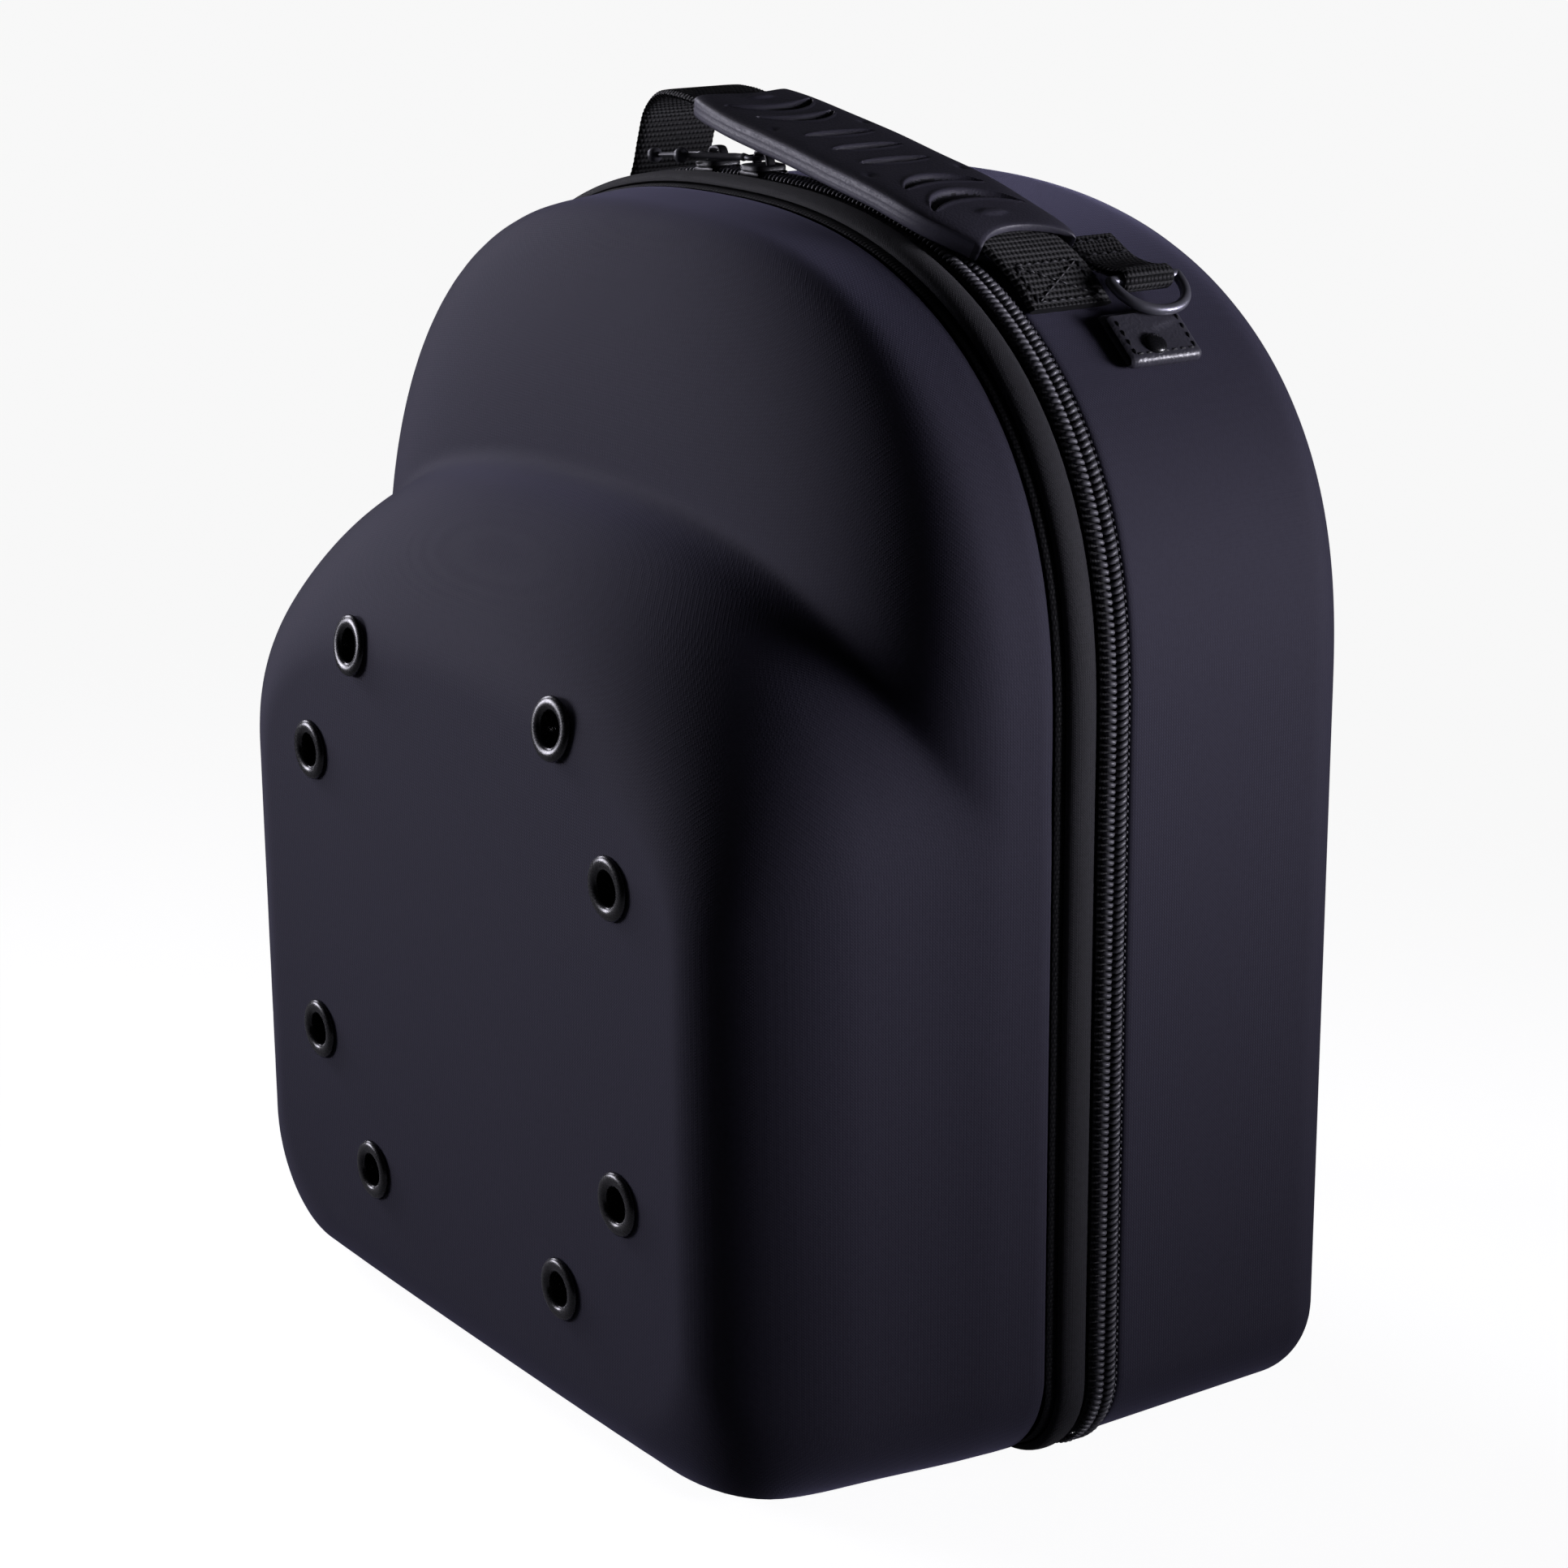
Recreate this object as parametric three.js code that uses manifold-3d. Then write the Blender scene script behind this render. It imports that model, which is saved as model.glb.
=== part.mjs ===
// A hard cap carrier: two moulded foam shells closed by a coil zip, with a top handle and two D-rings.
// Millimetres. +Z is up, the front faces -Y and +X is on the right seen from the front.
// The zip lies in the plane y = 0 and the case stands on z = 0.
import * as THREE from "three";
import { mergeVertices } from "three/addons/utils/BufferGeometryUtils.js";
import Module from "manifold-3d";

const wasm = await Module();
wasm.setup();

// The arched outline along the zip: flat bottom, round corners, upright sides and a full arch.
const HALF_WIDTH = 127.4;
const HEIGHT = 280;
const SPRING = 172.1;
const SIDE_POWER = 2.4;
const TOP_POWER = 2.52;
const CORNER = 21.8;

// The foam wall and the gap that neighbouring pieces keep.
const WALL = 4;
const GAP = 0.3;

// Front shell: how far each form stands out from the zip plane, and how its edges turn over.
// deep is measured along Y and wide across the face; draft is the wall's lean.
const FRONT_INSET = 0.9;
const FRONT_RIM = 14.5;
const FACE_CENTRE = 112;
const CROWN = {
  depth: 51.4,
  draft: 0.11,
  top: HEIGHT - FRONT_INSET,
  spring: SPRING,
  springFall: 0.5,
  sidePower: SIDE_POWER,
  topPower: TOP_POWER,
  corner: 25.9,
  side: { deep: 26, wide: 30 },
  crest: { deep: 22.6, wide: 71 },
  base: { deep: 1, wide: 0 },
};
const BILL = {
  depth: 91.9,
  draft: 0.13,
  top: 218,
  spring: 145,
  springFall: 0.3,
  sidePower: 2.37,
  topPower: 2.37,
  corner: 25.9,
  side: { deep: 32.3, wide: 22 },
  crest: { deep: 47, wide: 35.3 },
  base: { deep: 23, wide: 17.7 },
};
const CROWN_DOME = 1.9;
// The valley between crown and bill is crisp at the sides and soft in the middle.
const VALLEY = { edge: 14, middle: 44, reach: 118, power: 4 };

// Rear shell: rim plane, depth, rounded back edge and wall draft.
const REAR_INSET = 1.9;
const REAR_RIM = 5.8;
const REAR_DEPTH = 73;
const REAR_ROUND = 13.7;
const REAR_DRAFT = 0.01;
const REAR_TIGHTEST = 6;

// Zip parts follow the outline. Each section row is a corner: y along the depth, out from the outline.
const ZIP_FLOOR = 1;
const ZIP_TAIL = 4;
const BINDING_SECTION = [
  { y: -12.8, out: -1.7 },
  { y: -12.6, out: -0.4 },
  { y: -11.2, out: 0.3 },
  { y: -8.6, out: 0.5 },
  { y: -6.0, out: 0.3 },
  { y: -4.6, out: -0.4 },
  { y: -4.4, out: -1.7 },
];
const CHAIN_SECTION = [
  { y: -3.6, out: -1.6 },
  { y: -3.3, out: 0.0 },
  { y: -1.6, out: 0.6 },
  { y: 0.4, out: 0.8 },
  { y: 2.4, out: 0.6 },
  { y: 4.1, out: 0.0 },
  { y: 4.4, out: -1.6 },
];
const TAPE_SECTION = [
  { y: -FRONT_RIM + GAP, out: -3.2 },
  { y: -FRONT_RIM + GAP, out: -2.1 },
  { y: REAR_RIM - GAP, out: -2.1 },
  { y: REAR_RIM - GAP, out: -3.2 },
];
const HINGE = { halfLength: 100.5, thickness: 1.2 };

// Eyelets on the right half of the bill face, mirrored to the left. A row is one eyelet's place.
const EYELET_PLACES = [
  { x: 46.0, z: 171.5 },
  { x: 68.4, z: 140.8 },
  { x: 69.7, z: 67.8 },
  { x: 44.2, z: 38.3 },
];
const EYELET = { bore: 4, barrel: 4.6, flange: 7.4, dome: 1.5, washer: 6.6, washerThickness: 0.8 };
const EYELET_HOLE = 5;
const EYELET_SEGMENTS = 14;
const DRILL_LENGTH = 32;

// Handle: the webbing's middle line, from its left sewn end over the top to its right one.
// It leans to the front over the zip, so y is smaller in the grip than at the sewn ends.
const WEBBING = { width: 23, thickness: 2 };
const HANDLE_LINE = [
  { x: -87.5, y: 18.0, z: 258.9 },
  { x: -82.0, y: 18.0, z: 262.3 },
  { x: -77.5, y: 18.0, z: 266.5 },
  { x: -71.8, y: 17.6, z: 274.5 },
  { x: -68.0, y: 17.0, z: 282.5 },
  { x: -63.5, y: 16.0, z: 289.6 },
  { x: -55.0, y: 14.2, z: 294.2 },
  { x: -43.0, y: 12.2, z: 295.2 },
  { x: -28.0, y: 10.6, z: 293.8 },
  { x: -7.0, y: 9.8, z: 290.4 },
  { x: 14.0, y: 9.6, z: 287.0 },
  { x: 30.0, y: 9.6, z: 283.9 },
  { x: 48.0, y: 9.8, z: 280.4 },
  { x: 63.0, y: 10.6, z: 276.2 },
  { x: 75.0, y: 14.6, z: 271.0 },
  { x: 82.0, y: 17.4, z: 264.8 },
  { x: 88.0, y: 18.0, z: 258.7 },
];
const GRIP = { left: -26, right: 72, width: 33.6, endWidth: 27.2, thickness: 6.6, horn: 6, slotRoom: 0.6 };
const GRIP_POWER = { outside: 5, slot: 14, plan: 5 };

// D-rings: the bar's place on the right shoulder, the ring's size and how it lies.
const RING_Y = 38;
const RING_BAR_X = 85.5;
const RING_LIFT = 5.6;
const RING = { inner: 16.5, reach: 9, wire: 1.25, droop: 3, squareness: 0.8, bends: 14, sides: 8 };
const EYE_CORNERS = 14;
const LOOP = { width: 14, strap: 2.2, eyeGap: 0.5, length: 20, sewn: 0.55, endDrop: 1 };
const LOOP_CROOK = { back: 2.5, drop: 1.8 };
const TAB = { y: 33, width: 20, from: 90.5, to: 102, layer: 1.4, fold: 0.6, lift: 0.1, step: 2 };
const RIVET = { x: 98.8, y: 31, head: 2.8, dome: 1.1, shank: 1.4, tipLift: 0.6 };
const RIVET_SEGMENTS = 14;

// Zip sliders and their pulls, parked left of the top's middle. Both pulls lie to the left.
const SLIDER = { length: 9, width: 9.4, plate: 1.4, skirt: 1.6, lip: 0.8, bite: 0.2 };
const BRIDGE = { width: 2.4, height: 3.6, band: 1.1, margin: 1, slant: 1, innerSlant: 0.8 };
const PULL = { ring: 2.6, wire: 0.6, bar: 0.9, shoulder: 4, length: 23, ball: 1.9, ballRows: 5, neck: 0.12 };
const PULL_SEGMENTS = { tube: 6, ring: 14, bar: 10 };
const SLIDER_PLACES = [
  { x: -24, swing: -4, dip: -1 },
  { x: -5, swing: -18, dip: -2 },
];

const MATERIALS = {
  fabric: { color: 0x383643, roughness: 0.85, metalness: 0 },
  binding: { color: 0x201f25, roughness: 0.9, metalness: 0 },
  tape: { color: 0x17161b, roughness: 0.9, metalness: 0 },
  coil: { color: 0x1b1a20, roughness: 0.4, metalness: 0 },
  rubber: { color: 0x3a3848, roughness: 0.5, metalness: 0 },
  webbing: { color: 0x111014, roughness: 0.8, metalness: 0 },
  leather: { color: 0x25242c, roughness: 0.45, metalness: 0 },
  metal: { color: 0x2c2b31, roughness: 0.3, metalness: 0.9 },
};

const carrier = new THREE.Group();

function addPiece(name, geometry, finish) {
  const mesh = new THREE.Mesh(geometry, new THREE.MeshStandardMaterial(MATERIALS[finish]));
  mesh.name = name;
  carrier.add(mesh);
  return mesh;
}

// Six times the signed volume of a triangle list, positive where the faces point out.
function signedVolume(points, triangles) {
  let sum = 0;
  for (const [a, b, c] of triangles) {
    sum += points[a].dot(new THREE.Vector3().crossVectors(points[b], points[c]));
  }
  return sum;
}

// A closed skin over rings of equal length, each quad cut along its shorter diagonal.
// An open stack has a point at each end; a loop joins up.
function loft(rings, { loop = false, startTip = null, endTip = null } = {}) {
  const count = rings[0].length;
  const points = rings.flat();
  const triangles = [];
  const joins = loop ? rings.length : rings.length - 1;
  for (let i = 0; i < joins; i++) {
    const here = i * count;
    const next = ((i + 1) % rings.length) * count;
    for (let j = 0; j < count; j++) {
      const k = (j + 1) % count;
      const rising = points[here + j].distanceTo(points[next + k]);
      const falling = points[here + k].distanceTo(points[next + j]);
      if (rising <= falling) {
        triangles.push([here + j, here + k, next + k], [here + j, next + k, next + j]);
      } else {
        triangles.push([here + j, here + k, next + j], [here + k, next + k, next + j]);
      }
    }
  }
  if (!loop) {
    const last = (rings.length - 1) * count;
    const start = points.push(startTip ?? middle(rings[0])) - 1;
    const end = points.push(endTip ?? middle(rings.at(-1))) - 1;
    for (let j = 0; j < count; j++) {
      const k = (j + 1) % count;
      triangles.push([start, k, j], [end, last + j, last + k]);
    }
  }
  if (signedVolume(points, triangles) < 0) {
    for (const triangle of triangles) {
      triangle.reverse();
    }
  }
  const geometry = new THREE.BufferGeometry().setFromPoints(points);
  geometry.setIndex(triangles.flat());
  return geometry;
}

function middle(ring) {
  const sum = ring.reduce((total, point) => total.add(point), new THREE.Vector3());
  return sum.divideScalar(ring.length);
}

// Booleans: geometry to solid and back.
function toSolid(geometry) {
  const bare = geometry.clone();
  bare.deleteAttribute("normal");
  bare.deleteAttribute("uv");
  const merged = mergeVertices(bare, 1e-4);
  const mesh = new wasm.Mesh({
    numProp: 3,
    vertProperties: merged.attributes.position.array,
    triVerts: new Uint32Array(merged.index.array),
  });
  return new wasm.Manifold(mesh);
}

function toGeometry(solid) {
  const mesh = solid.getMesh();
  const geometry = new THREE.BufferGeometry();
  geometry.setAttribute("position", new THREE.BufferAttribute(mesh.vertProperties, 3));
  geometry.setIndex(new THREE.BufferAttribute(mesh.triVerts, 1));
  return geometry;
}

function join(geometries) {
  return toGeometry(geometries.map(toSolid).reduce((whole, next) => whole.add(next)));
}

// Height of the arch over x, for a given half-width, top and spring line.
function archHeight(x, halfWidth, top, spring, sidePower, topPower) {
  const across = Math.min(Math.abs(x) / halfWidth, 1) ** (sidePower / 2);
  return spring + (top - spring) * Math.sqrt(1 - across * across) ** (2 / topPower);
}

// One lap of the arched outline as { x, z } rows, anticlockwise from the bottom's middle.
const LAP = { bottom: 7, corner: 6, side: 5, arch: 15 };
function archLap(sideInset, topInset, floor, corner) {
  const halfWidth = HALF_WIDTH - sideInset;
  const top = HEIGHT - topInset;
  const right = [];
  for (let i = 0; i < LAP.bottom; i++) {
    right.push({ x: (halfWidth - corner) * Math.sin(((Math.PI / 2) * i) / LAP.bottom), z: floor });
  }
  for (let i = 0; i < LAP.corner; i++) {
    const turn = ((Math.PI / 2) * i) / LAP.corner;
    const x = halfWidth - corner + corner * Math.sin(turn);
    right.push({ x, z: floor + corner - corner * Math.cos(turn) });
  }
  for (let i = 0; i < LAP.side; i++) {
    right.push({ x: halfWidth, z: floor + corner + ((SPRING - floor - corner) * i) / LAP.side });
  }
  for (let i = 0; i < LAP.arch; i++) {
    const turn = ((Math.PI / 2) * i) / LAP.arch;
    const x = halfWidth * Math.cos(turn) ** (2 / SIDE_POWER);
    right.push({ x, z: SPRING + (top - SPRING) * Math.sin(turn) ** (2 / TOP_POWER) });
  }
  const left = right.slice(1).reverse();
  return [...right, { x: 0, z: top }, ...left.map(({ x, z }) => ({ x: -x, z }))];
}

// How far an edge has turned inward at a depth: straight draft, then a quarter ellipse.
function edgeInset(depth, formDepth, draft, { deep, wide }) {
  const turn = Math.min(Math.max((depth - (formDepth - deep)) / deep, 0), 1);
  return draft * depth + wide * (1 - Math.sqrt(1 - turn * turn));
}

const LOWEST_ARCH = 5;
const HALVINGS = 40;
// True where the form, taken in by skin, still reaches the depth over the point x, z.
function formReaches(form, skin, x, z, depth) {
  const formDepth = form.depth - skin;
  const halfWidth = HALF_WIDTH - FRONT_INSET - skin - edgeInset(depth, formDepth, form.draft, form.side);
  const fall = edgeInset(depth, formDepth, form.draft, form.crest);
  const floor = skin + edgeInset(depth, formDepth, 0, form.base);
  const top = form.top - skin - fall;
  const spring = Math.min(form.spring - form.springFall * fall, top - LOWEST_ARCH);
  if (Math.abs(x) > halfWidth) {
    return false;
  }
  if (z >= spring) {
    return z <= archHeight(x, halfWidth, top, spring, form.sidePower, form.topPower);
  }
  const beside = Math.max(Math.abs(x) - (halfWidth - form.corner), 0);
  const below = Math.max(floor + form.corner - z, 0);
  return z >= floor && Math.hypot(beside, below) <= form.corner;
}

function formDepthAt(form, skin, x, z) {
  if (!formReaches(form, skin, x, z, 0)) {
    return 0;
  }
  let low = 0;
  let high = form.depth - skin;
  for (let i = 0; i < HALVINGS; i++) {
    const half = (low + high) / 2;
    if (formReaches(form, skin, x, z, half)) {
      low = half;
    } else {
      high = half;
    }
  }
  return low;
}

// Depth of the front shell's outside over x, z; skin takes it in to the inside face.
function frontDepth(x, z, skin = 0) {
  let crown = formDepthAt(CROWN, skin, x, z);
  const bill = formDepthAt(BILL, skin, x, z);
  const across = x / (HALF_WIDTH - FRONT_INSET);
  crown += CROWN_DOME * Math.max(1 - across * across, 0) * (crown / CROWN.depth) ** 2;
  if (crown === 0 || bill === 0) {
    return Math.max(crown, bill);
  }
  const soft = Math.max(1 - (x / VALLEY.reach) ** VALLEY.power, 0);
  const blend = VALLEY.edge + (VALLEY.middle - VALLEY.edge) * soft;
  const near = Math.max(blend - Math.abs(crown - bill), 0) / blend;
  return Math.max(crown, bill) + (near * near * blend) / 4;
}

// Points up a front profile, from the rim to just short of the face's centre, evenly along its length.
const PROFILE_SAMPLES = 260;
const RIM_CROWDING = 2.2;
const OUTSIDE_RINGS = 15;
const INSIDE_RINGS = 10;
function frontProfile(edge, skin, rings) {
  const trail = [];
  let before = new THREE.Vector3(edge.x, 0, edge.z);
  for (let i = 0; i <= PROFILE_SAMPLES; i++) {
    const share = 1 - (i / PROFILE_SAMPLES) ** RIM_CROWDING;
    const x = edge.x * share;
    const z = FACE_CENTRE + (edge.z - FACE_CENTRE) * share;
    const point = new THREE.Vector3(x, -frontDepth(x, z, skin), z);
    if (-point.y >= FRONT_RIM) {
      if (trail.length === 0) {
        const part = (FRONT_RIM + before.y) / (before.y - point.y);
        trail.push(before.clone().lerp(point, part));
      }
      trail.push(point);
    }
    before = point;
  }
  const lengths = [0];
  for (let i = 1; i < trail.length; i++) {
    lengths.push(lengths[i - 1] + trail[i].distanceTo(trail[i - 1]));
  }
  const out = [];
  let at = 0;
  for (let ring = 0; ring < rings; ring++) {
    const goal = (lengths.at(-1) * ring) / rings;
    while (lengths[at + 1] < goal) {
      at++;
    }
    const part = (goal - lengths[at]) / (lengths[at + 1] - lengths[at]);
    out.push(trail[at].clone().lerp(trail[at + 1], part));
  }
  return out;
}

function frontFace(skin, rings) {
  const edges = archLap(0, 0, 0, CORNER);
  const profiles = edges.map((edge) => frontProfile(edge, skin, rings));
  const stack = [];
  for (let ring = 0; ring < rings; ring++) {
    stack.push(profiles.map((profile) => profile[ring]));
  }
  return stack;
}

// Outward direction of the front face at x, z.
function frontNormal(x, z) {
  const step = 1;
  const acrossX = frontDepth(x + step, z) - frontDepth(x - step, z);
  const acrossZ = frontDepth(x, z + step) - frontDepth(x, z - step);
  return new THREE.Vector3(-acrossX, -2 * step, -acrossZ).normalize();
}

const UP = new THREE.Vector3(0, 1, 0);

function eyeletSeats() {
  const seats = [];
  for (const side of [1, -1]) {
    for (const { x, z } of EYELET_PLACES) {
      const place = new THREE.Vector3(side * x, -frontDepth(side * x, z), z);
      seats.push({ place, normal: frontNormal(side * x, z) });
    }
  }
  return seats;
}

// How high the wall's outside and how low its inside lie under a flange, along the seat's normal.
function wallUnder(wall, { place, normal }, radius) {
  const start = 20;
  const aside = new THREE.Vector3(1, 0, 0).projectOnPlane(normal).normalize();
  const beside = new THREE.Vector3().crossVectors(normal, aside);
  const caster = new THREE.Raycaster();
  let high = -start;
  let low = start;
  for (let i = 0; i < 2 * EYELET_SEGMENTS; i++) {
    const turn = (Math.PI * i) / EYELET_SEGMENTS;
    const from = place.clone().addScaledVector(normal, start);
    from.addScaledVector(aside, radius * Math.cos(turn)).addScaledVector(beside, radius * Math.sin(turn));
    caster.set(from, normal.clone().negate());
    const hits = caster.intersectObject(wall);
    high = Math.max(high, start - hits[0].distance);
    low = Math.min(low, start - hits[1].distance);
  }
  return { high, low };
}

function makeFrontShell() {
  const outside = frontFace(0, OUTSIDE_RINGS);
  const inside = frontFace(WALL, INSIDE_RINGS);
  const centre = (skin) => new THREE.Vector3(0, -frontDepth(0, FACE_CENTRE, skin), FACE_CENTRE);
  const rings = [...inside.reverse(), ...outside];
  const whole = loft(rings, { startTip: centre(WALL), endTip: centre(0) });
  const wall = new THREE.Mesh(whole, new THREE.MeshBasicMaterial({ side: THREE.DoubleSide }));
  let solid = toSolid(whole);
  eyeletSeats().forEach((seat, i) => {
    const { place, normal } = seat;
    const turn = new THREE.Quaternion().setFromUnitVectors(UP, normal);
    const drill = new THREE.CylinderGeometry(EYELET_HOLE, EYELET_HOLE, DRILL_LENGTH, EYELET_SEGMENTS);
    drill.applyQuaternion(turn);
    drill.translate(place.x, place.y, place.z);
    solid = solid.subtract(toSolid(drill));
    const flange = wallUnder(wall, seat, EYELET.flange);
    const barrel = wallUnder(wall, seat, EYELET_HOLE);
    const front = Math.max(flange.high, barrel.high) + GAP;
    const back = Math.min(flange.low, barrel.low) - GAP;
    const eyelet = addPiece(`eyelet_${i + 1}`, eyeletTurning(front, back), "metal");
    eyelet.position.copy(place);
    eyelet.quaternion.copy(turn);
  });
  addPiece("front_shell", toGeometry(solid), "fabric");
}

// A turned eyelet: domed flange in front, barrel through the wall and a washer behind, open along its axis.
function eyeletTurning(front, back) {
  const { bore, barrel, flange, dome, washer, washerThickness } = EYELET;
  const rows = [
    [bore, back - washerThickness],
    [washer, back - washerThickness],
    [washer, back],
    [barrel, back],
    [barrel, front],
    [flange, front],
    [flange - 0.5, front + 0.6 * dome],
    [flange - 1.8, front + dome],
    [bore + 0.5, front + 0.7 * dome],
    [bore, front],
    [bore, back - washerThickness],
  ];
  const profile = rows.map(([radius, height]) => new THREE.Vector2(radius, height));
  return new THREE.LatheGeometry(profile, EYELET_SEGMENTS);
}

// Levels of the rear shell from its rim to its back: y, how far in the wall is, and how far up its floor.
const REAR_TURNS = 4;
function rearLevels(skin) {
  const round = REAR_ROUND - skin;
  const lean = (y) => REAR_INSET + skin + REAR_DRAFT * y;
  const flatEnd = REAR_DEPTH - REAR_ROUND;
  const levels = [{ y: REAR_RIM, inset: lean(REAR_RIM), floor: skin }];
  for (let i = 0; i <= REAR_TURNS; i++) {
    const turn = ((Math.PI / 2) * i) / REAR_TURNS;
    const inset = round * (1 - Math.cos(turn));
    const y = flatEnd + round * Math.sin(turn);
    levels.push({ y, inset: lean(flatEnd) + inset, floor: skin + inset });
  }
  return levels;
}

function rearRings(skin) {
  return rearLevels(skin).map(({ y, inset, floor }) => {
    const corner = Math.max(CORNER + REAR_INSET - inset, REAR_TIGHTEST);
    return archLap(inset, inset, floor, corner).map(({ x, z }) => new THREE.Vector3(x, y, z));
  });
}

function makeRearShell() {
  const outside = rearRings(0);
  const inside = rearRings(WALL);
  addPiece("rear_shell", loft([...inside.reverse(), ...outside]), "fabric");
}

// The zip's route: rows of place and outward normal, from under the left corner over the top to the right.
function zipRoute() {
  const lap = archLap(0, 0, ZIP_FLOOR, CORNER);
  const tailX = HALF_WIDTH - CORNER - ZIP_TAIL;
  const onRoute = lap.filter(({ x, z }) => z > ZIP_FLOOR || Math.abs(x) >= tailX + ZIP_TAIL - 0.01);
  const route = [{ x: tailX, z: ZIP_FLOOR }, ...onRoute, { x: -tailX, z: ZIP_FLOOR }];
  return route.map(({ x, z }, i) => {
    const next = route[Math.min(i + 1, route.length - 1)];
    const last = route[Math.max(i - 1, 0)];
    const along = new THREE.Vector3(next.x - last.x, 0, next.z - last.z).normalize();
    return { x, z, outX: along.z, outZ: -along.x };
  });
}

function stripAlongZip(section) {
  const rings = zipRoute().map(({ x, z, outX, outZ }) =>
    section.map(({ y, out }) => new THREE.Vector3(x + outX * out, y, z + outZ * out)),
  );
  return loft(rings);
}

function makeZip() {
  addPiece("front_binding", stripAlongZip(BINDING_SECTION), "binding");
  addPiece("zip_chain", stripAlongZip(CHAIN_SECTION), "coil");
  addPiece("zip_tape", stripAlongZip(TAPE_SECTION), "tape");
  const length = FRONT_RIM + REAR_RIM - 2 * GAP;
  const hinge = new THREE.BoxGeometry(2 * HINGE.halfLength, length, HINGE.thickness);
  hinge.translate(0, (REAR_RIM - FRONT_RIM) / 2, HINGE.thickness / 2);
  addPiece("bottom_hinge", hinge, "tape");
}

// The handle's middle line as a smooth curve, and the place, direction and normal at an x on it.
const handleCurve = new THREE.CatmullRomCurve3(
  HANDLE_LINE.map(({ x, y, z }) => new THREE.Vector3(x, y, z)),
  false,
  "centripetal",
);

function handleFrame(x) {
  let low = 0;
  let high = 1;
  for (let i = 0; i < HALVINGS; i++) {
    const half = (low + high) / 2;
    if (handleCurve.getPoint(half).x < x) {
      low = half;
    } else {
      high = half;
    }
  }
  return frameAt(low);
}

function frameAt(share) {
  const place = handleCurve.getPoint(share);
  const along = handleCurve.getTangent(share);
  return { place, normal: new THREE.Vector3(-along.z, 0, along.x).normalize() };
}

const WEBBING_STATIONS = 40;
function makeWebbing() {
  const rings = [];
  const corners = [
    [-1, -1],
    [1, -1],
    [1, 1],
    [-1, 1],
  ];
  for (let i = 0; i <= WEBBING_STATIONS; i++) {
    const { place, normal } = frameAt(i / WEBBING_STATIONS);
    rings.push(
      corners.map(([across, up]) => {
        const point = place.clone().addScaledVector(normal, (up * WEBBING.thickness) / 2);
        point.y += (across * WEBBING.width) / 2;
        return point;
      }),
    );
  }
  addPiece("handle_webbing", loft(rings), "webbing");
}

// The grip is a sleeve: an outer and a slot section swept together, with ends scooped between two horns.
// It is widest in the middle and narrows towards both ends.
const GRIP_STATIONS = 16;
const GRIP_CORNERS = 16;
function gripSection(halfWidth, halfThickness, power, share) {
  const ring = [];
  for (let i = 0; i < GRIP_CORNERS; i++) {
    const turn = (2 * Math.PI * (i + 0.5)) / GRIP_CORNERS;
    const cos = Math.cos(turn);
    const sin = Math.sin(turn);
    const across = halfWidth * Math.sign(cos) * Math.abs(cos) ** (2 / power);
    const up = halfThickness * Math.sign(sin) * Math.abs(sin) ** (2 / power);
    const horn = GRIP.horn * (across / (GRIP.width / 2)) ** 2;
    const left = GRIP.left - horn;
    const right = GRIP.right + horn;
    const { place, normal } = handleFrame(left + (right - left) * share);
    const point = place.clone().addScaledVector(normal, up);
    point.y += across;
    ring.push(point);
  }
  return ring;
}

function gripHalfWidth(share) {
  const bulge = 1 - Math.abs(2 * share - 1) ** GRIP_POWER.plan;
  return (GRIP.endWidth + (GRIP.width - GRIP.endWidth) * bulge) / 2;
}

function makeGrip() {
  const outside = [];
  const slot = [];
  for (let i = 0; i <= GRIP_STATIONS; i++) {
    const share = i / GRIP_STATIONS;
    outside.push(gripSection(gripHalfWidth(share), GRIP.thickness / 2, GRIP_POWER.outside, share));
    const slotWidth = WEBBING.width / 2 + GRIP.slotRoom;
    slot.push(gripSection(slotWidth, WEBBING.thickness / 2 + GRIP.slotRoom, GRIP_POWER.slot, share));
  }
  addPiece("handle_grip", loft([...outside, ...slot.reverse()], { loop: true }), "rubber");
}

// Place, outward normal and downhill direction on the rear shell's right shoulder at x.
function shoulder(x, y) {
  const side = HALF_WIDTH - REAR_INSET;
  const top = HEIGHT - REAR_INSET;
  const height = (at) => archHeight(at, side, top, SPRING, SIDE_POWER, TOP_POWER);
  const down = new THREE.Vector3(1, 0, height(x + 0.5) - height(x - 0.5)).normalize();
  const out = new THREE.Vector3(-down.z, 0, down.x);
  return { place: new THREE.Vector3(x, y, height(x)), out, down };
}

const ringSeat = shoulder(RING_BAR_X, RING_Y);
const ringBar = ringSeat.place.clone().addScaledVector(ringSeat.out, RING_LIFT);
const ringDroop = Math.sin(THREE.MathUtils.degToRad(RING.droop));
const ringLie = ringSeat.down.clone().addScaledVector(ringSeat.out, -ringDroop).normalize();

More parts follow.
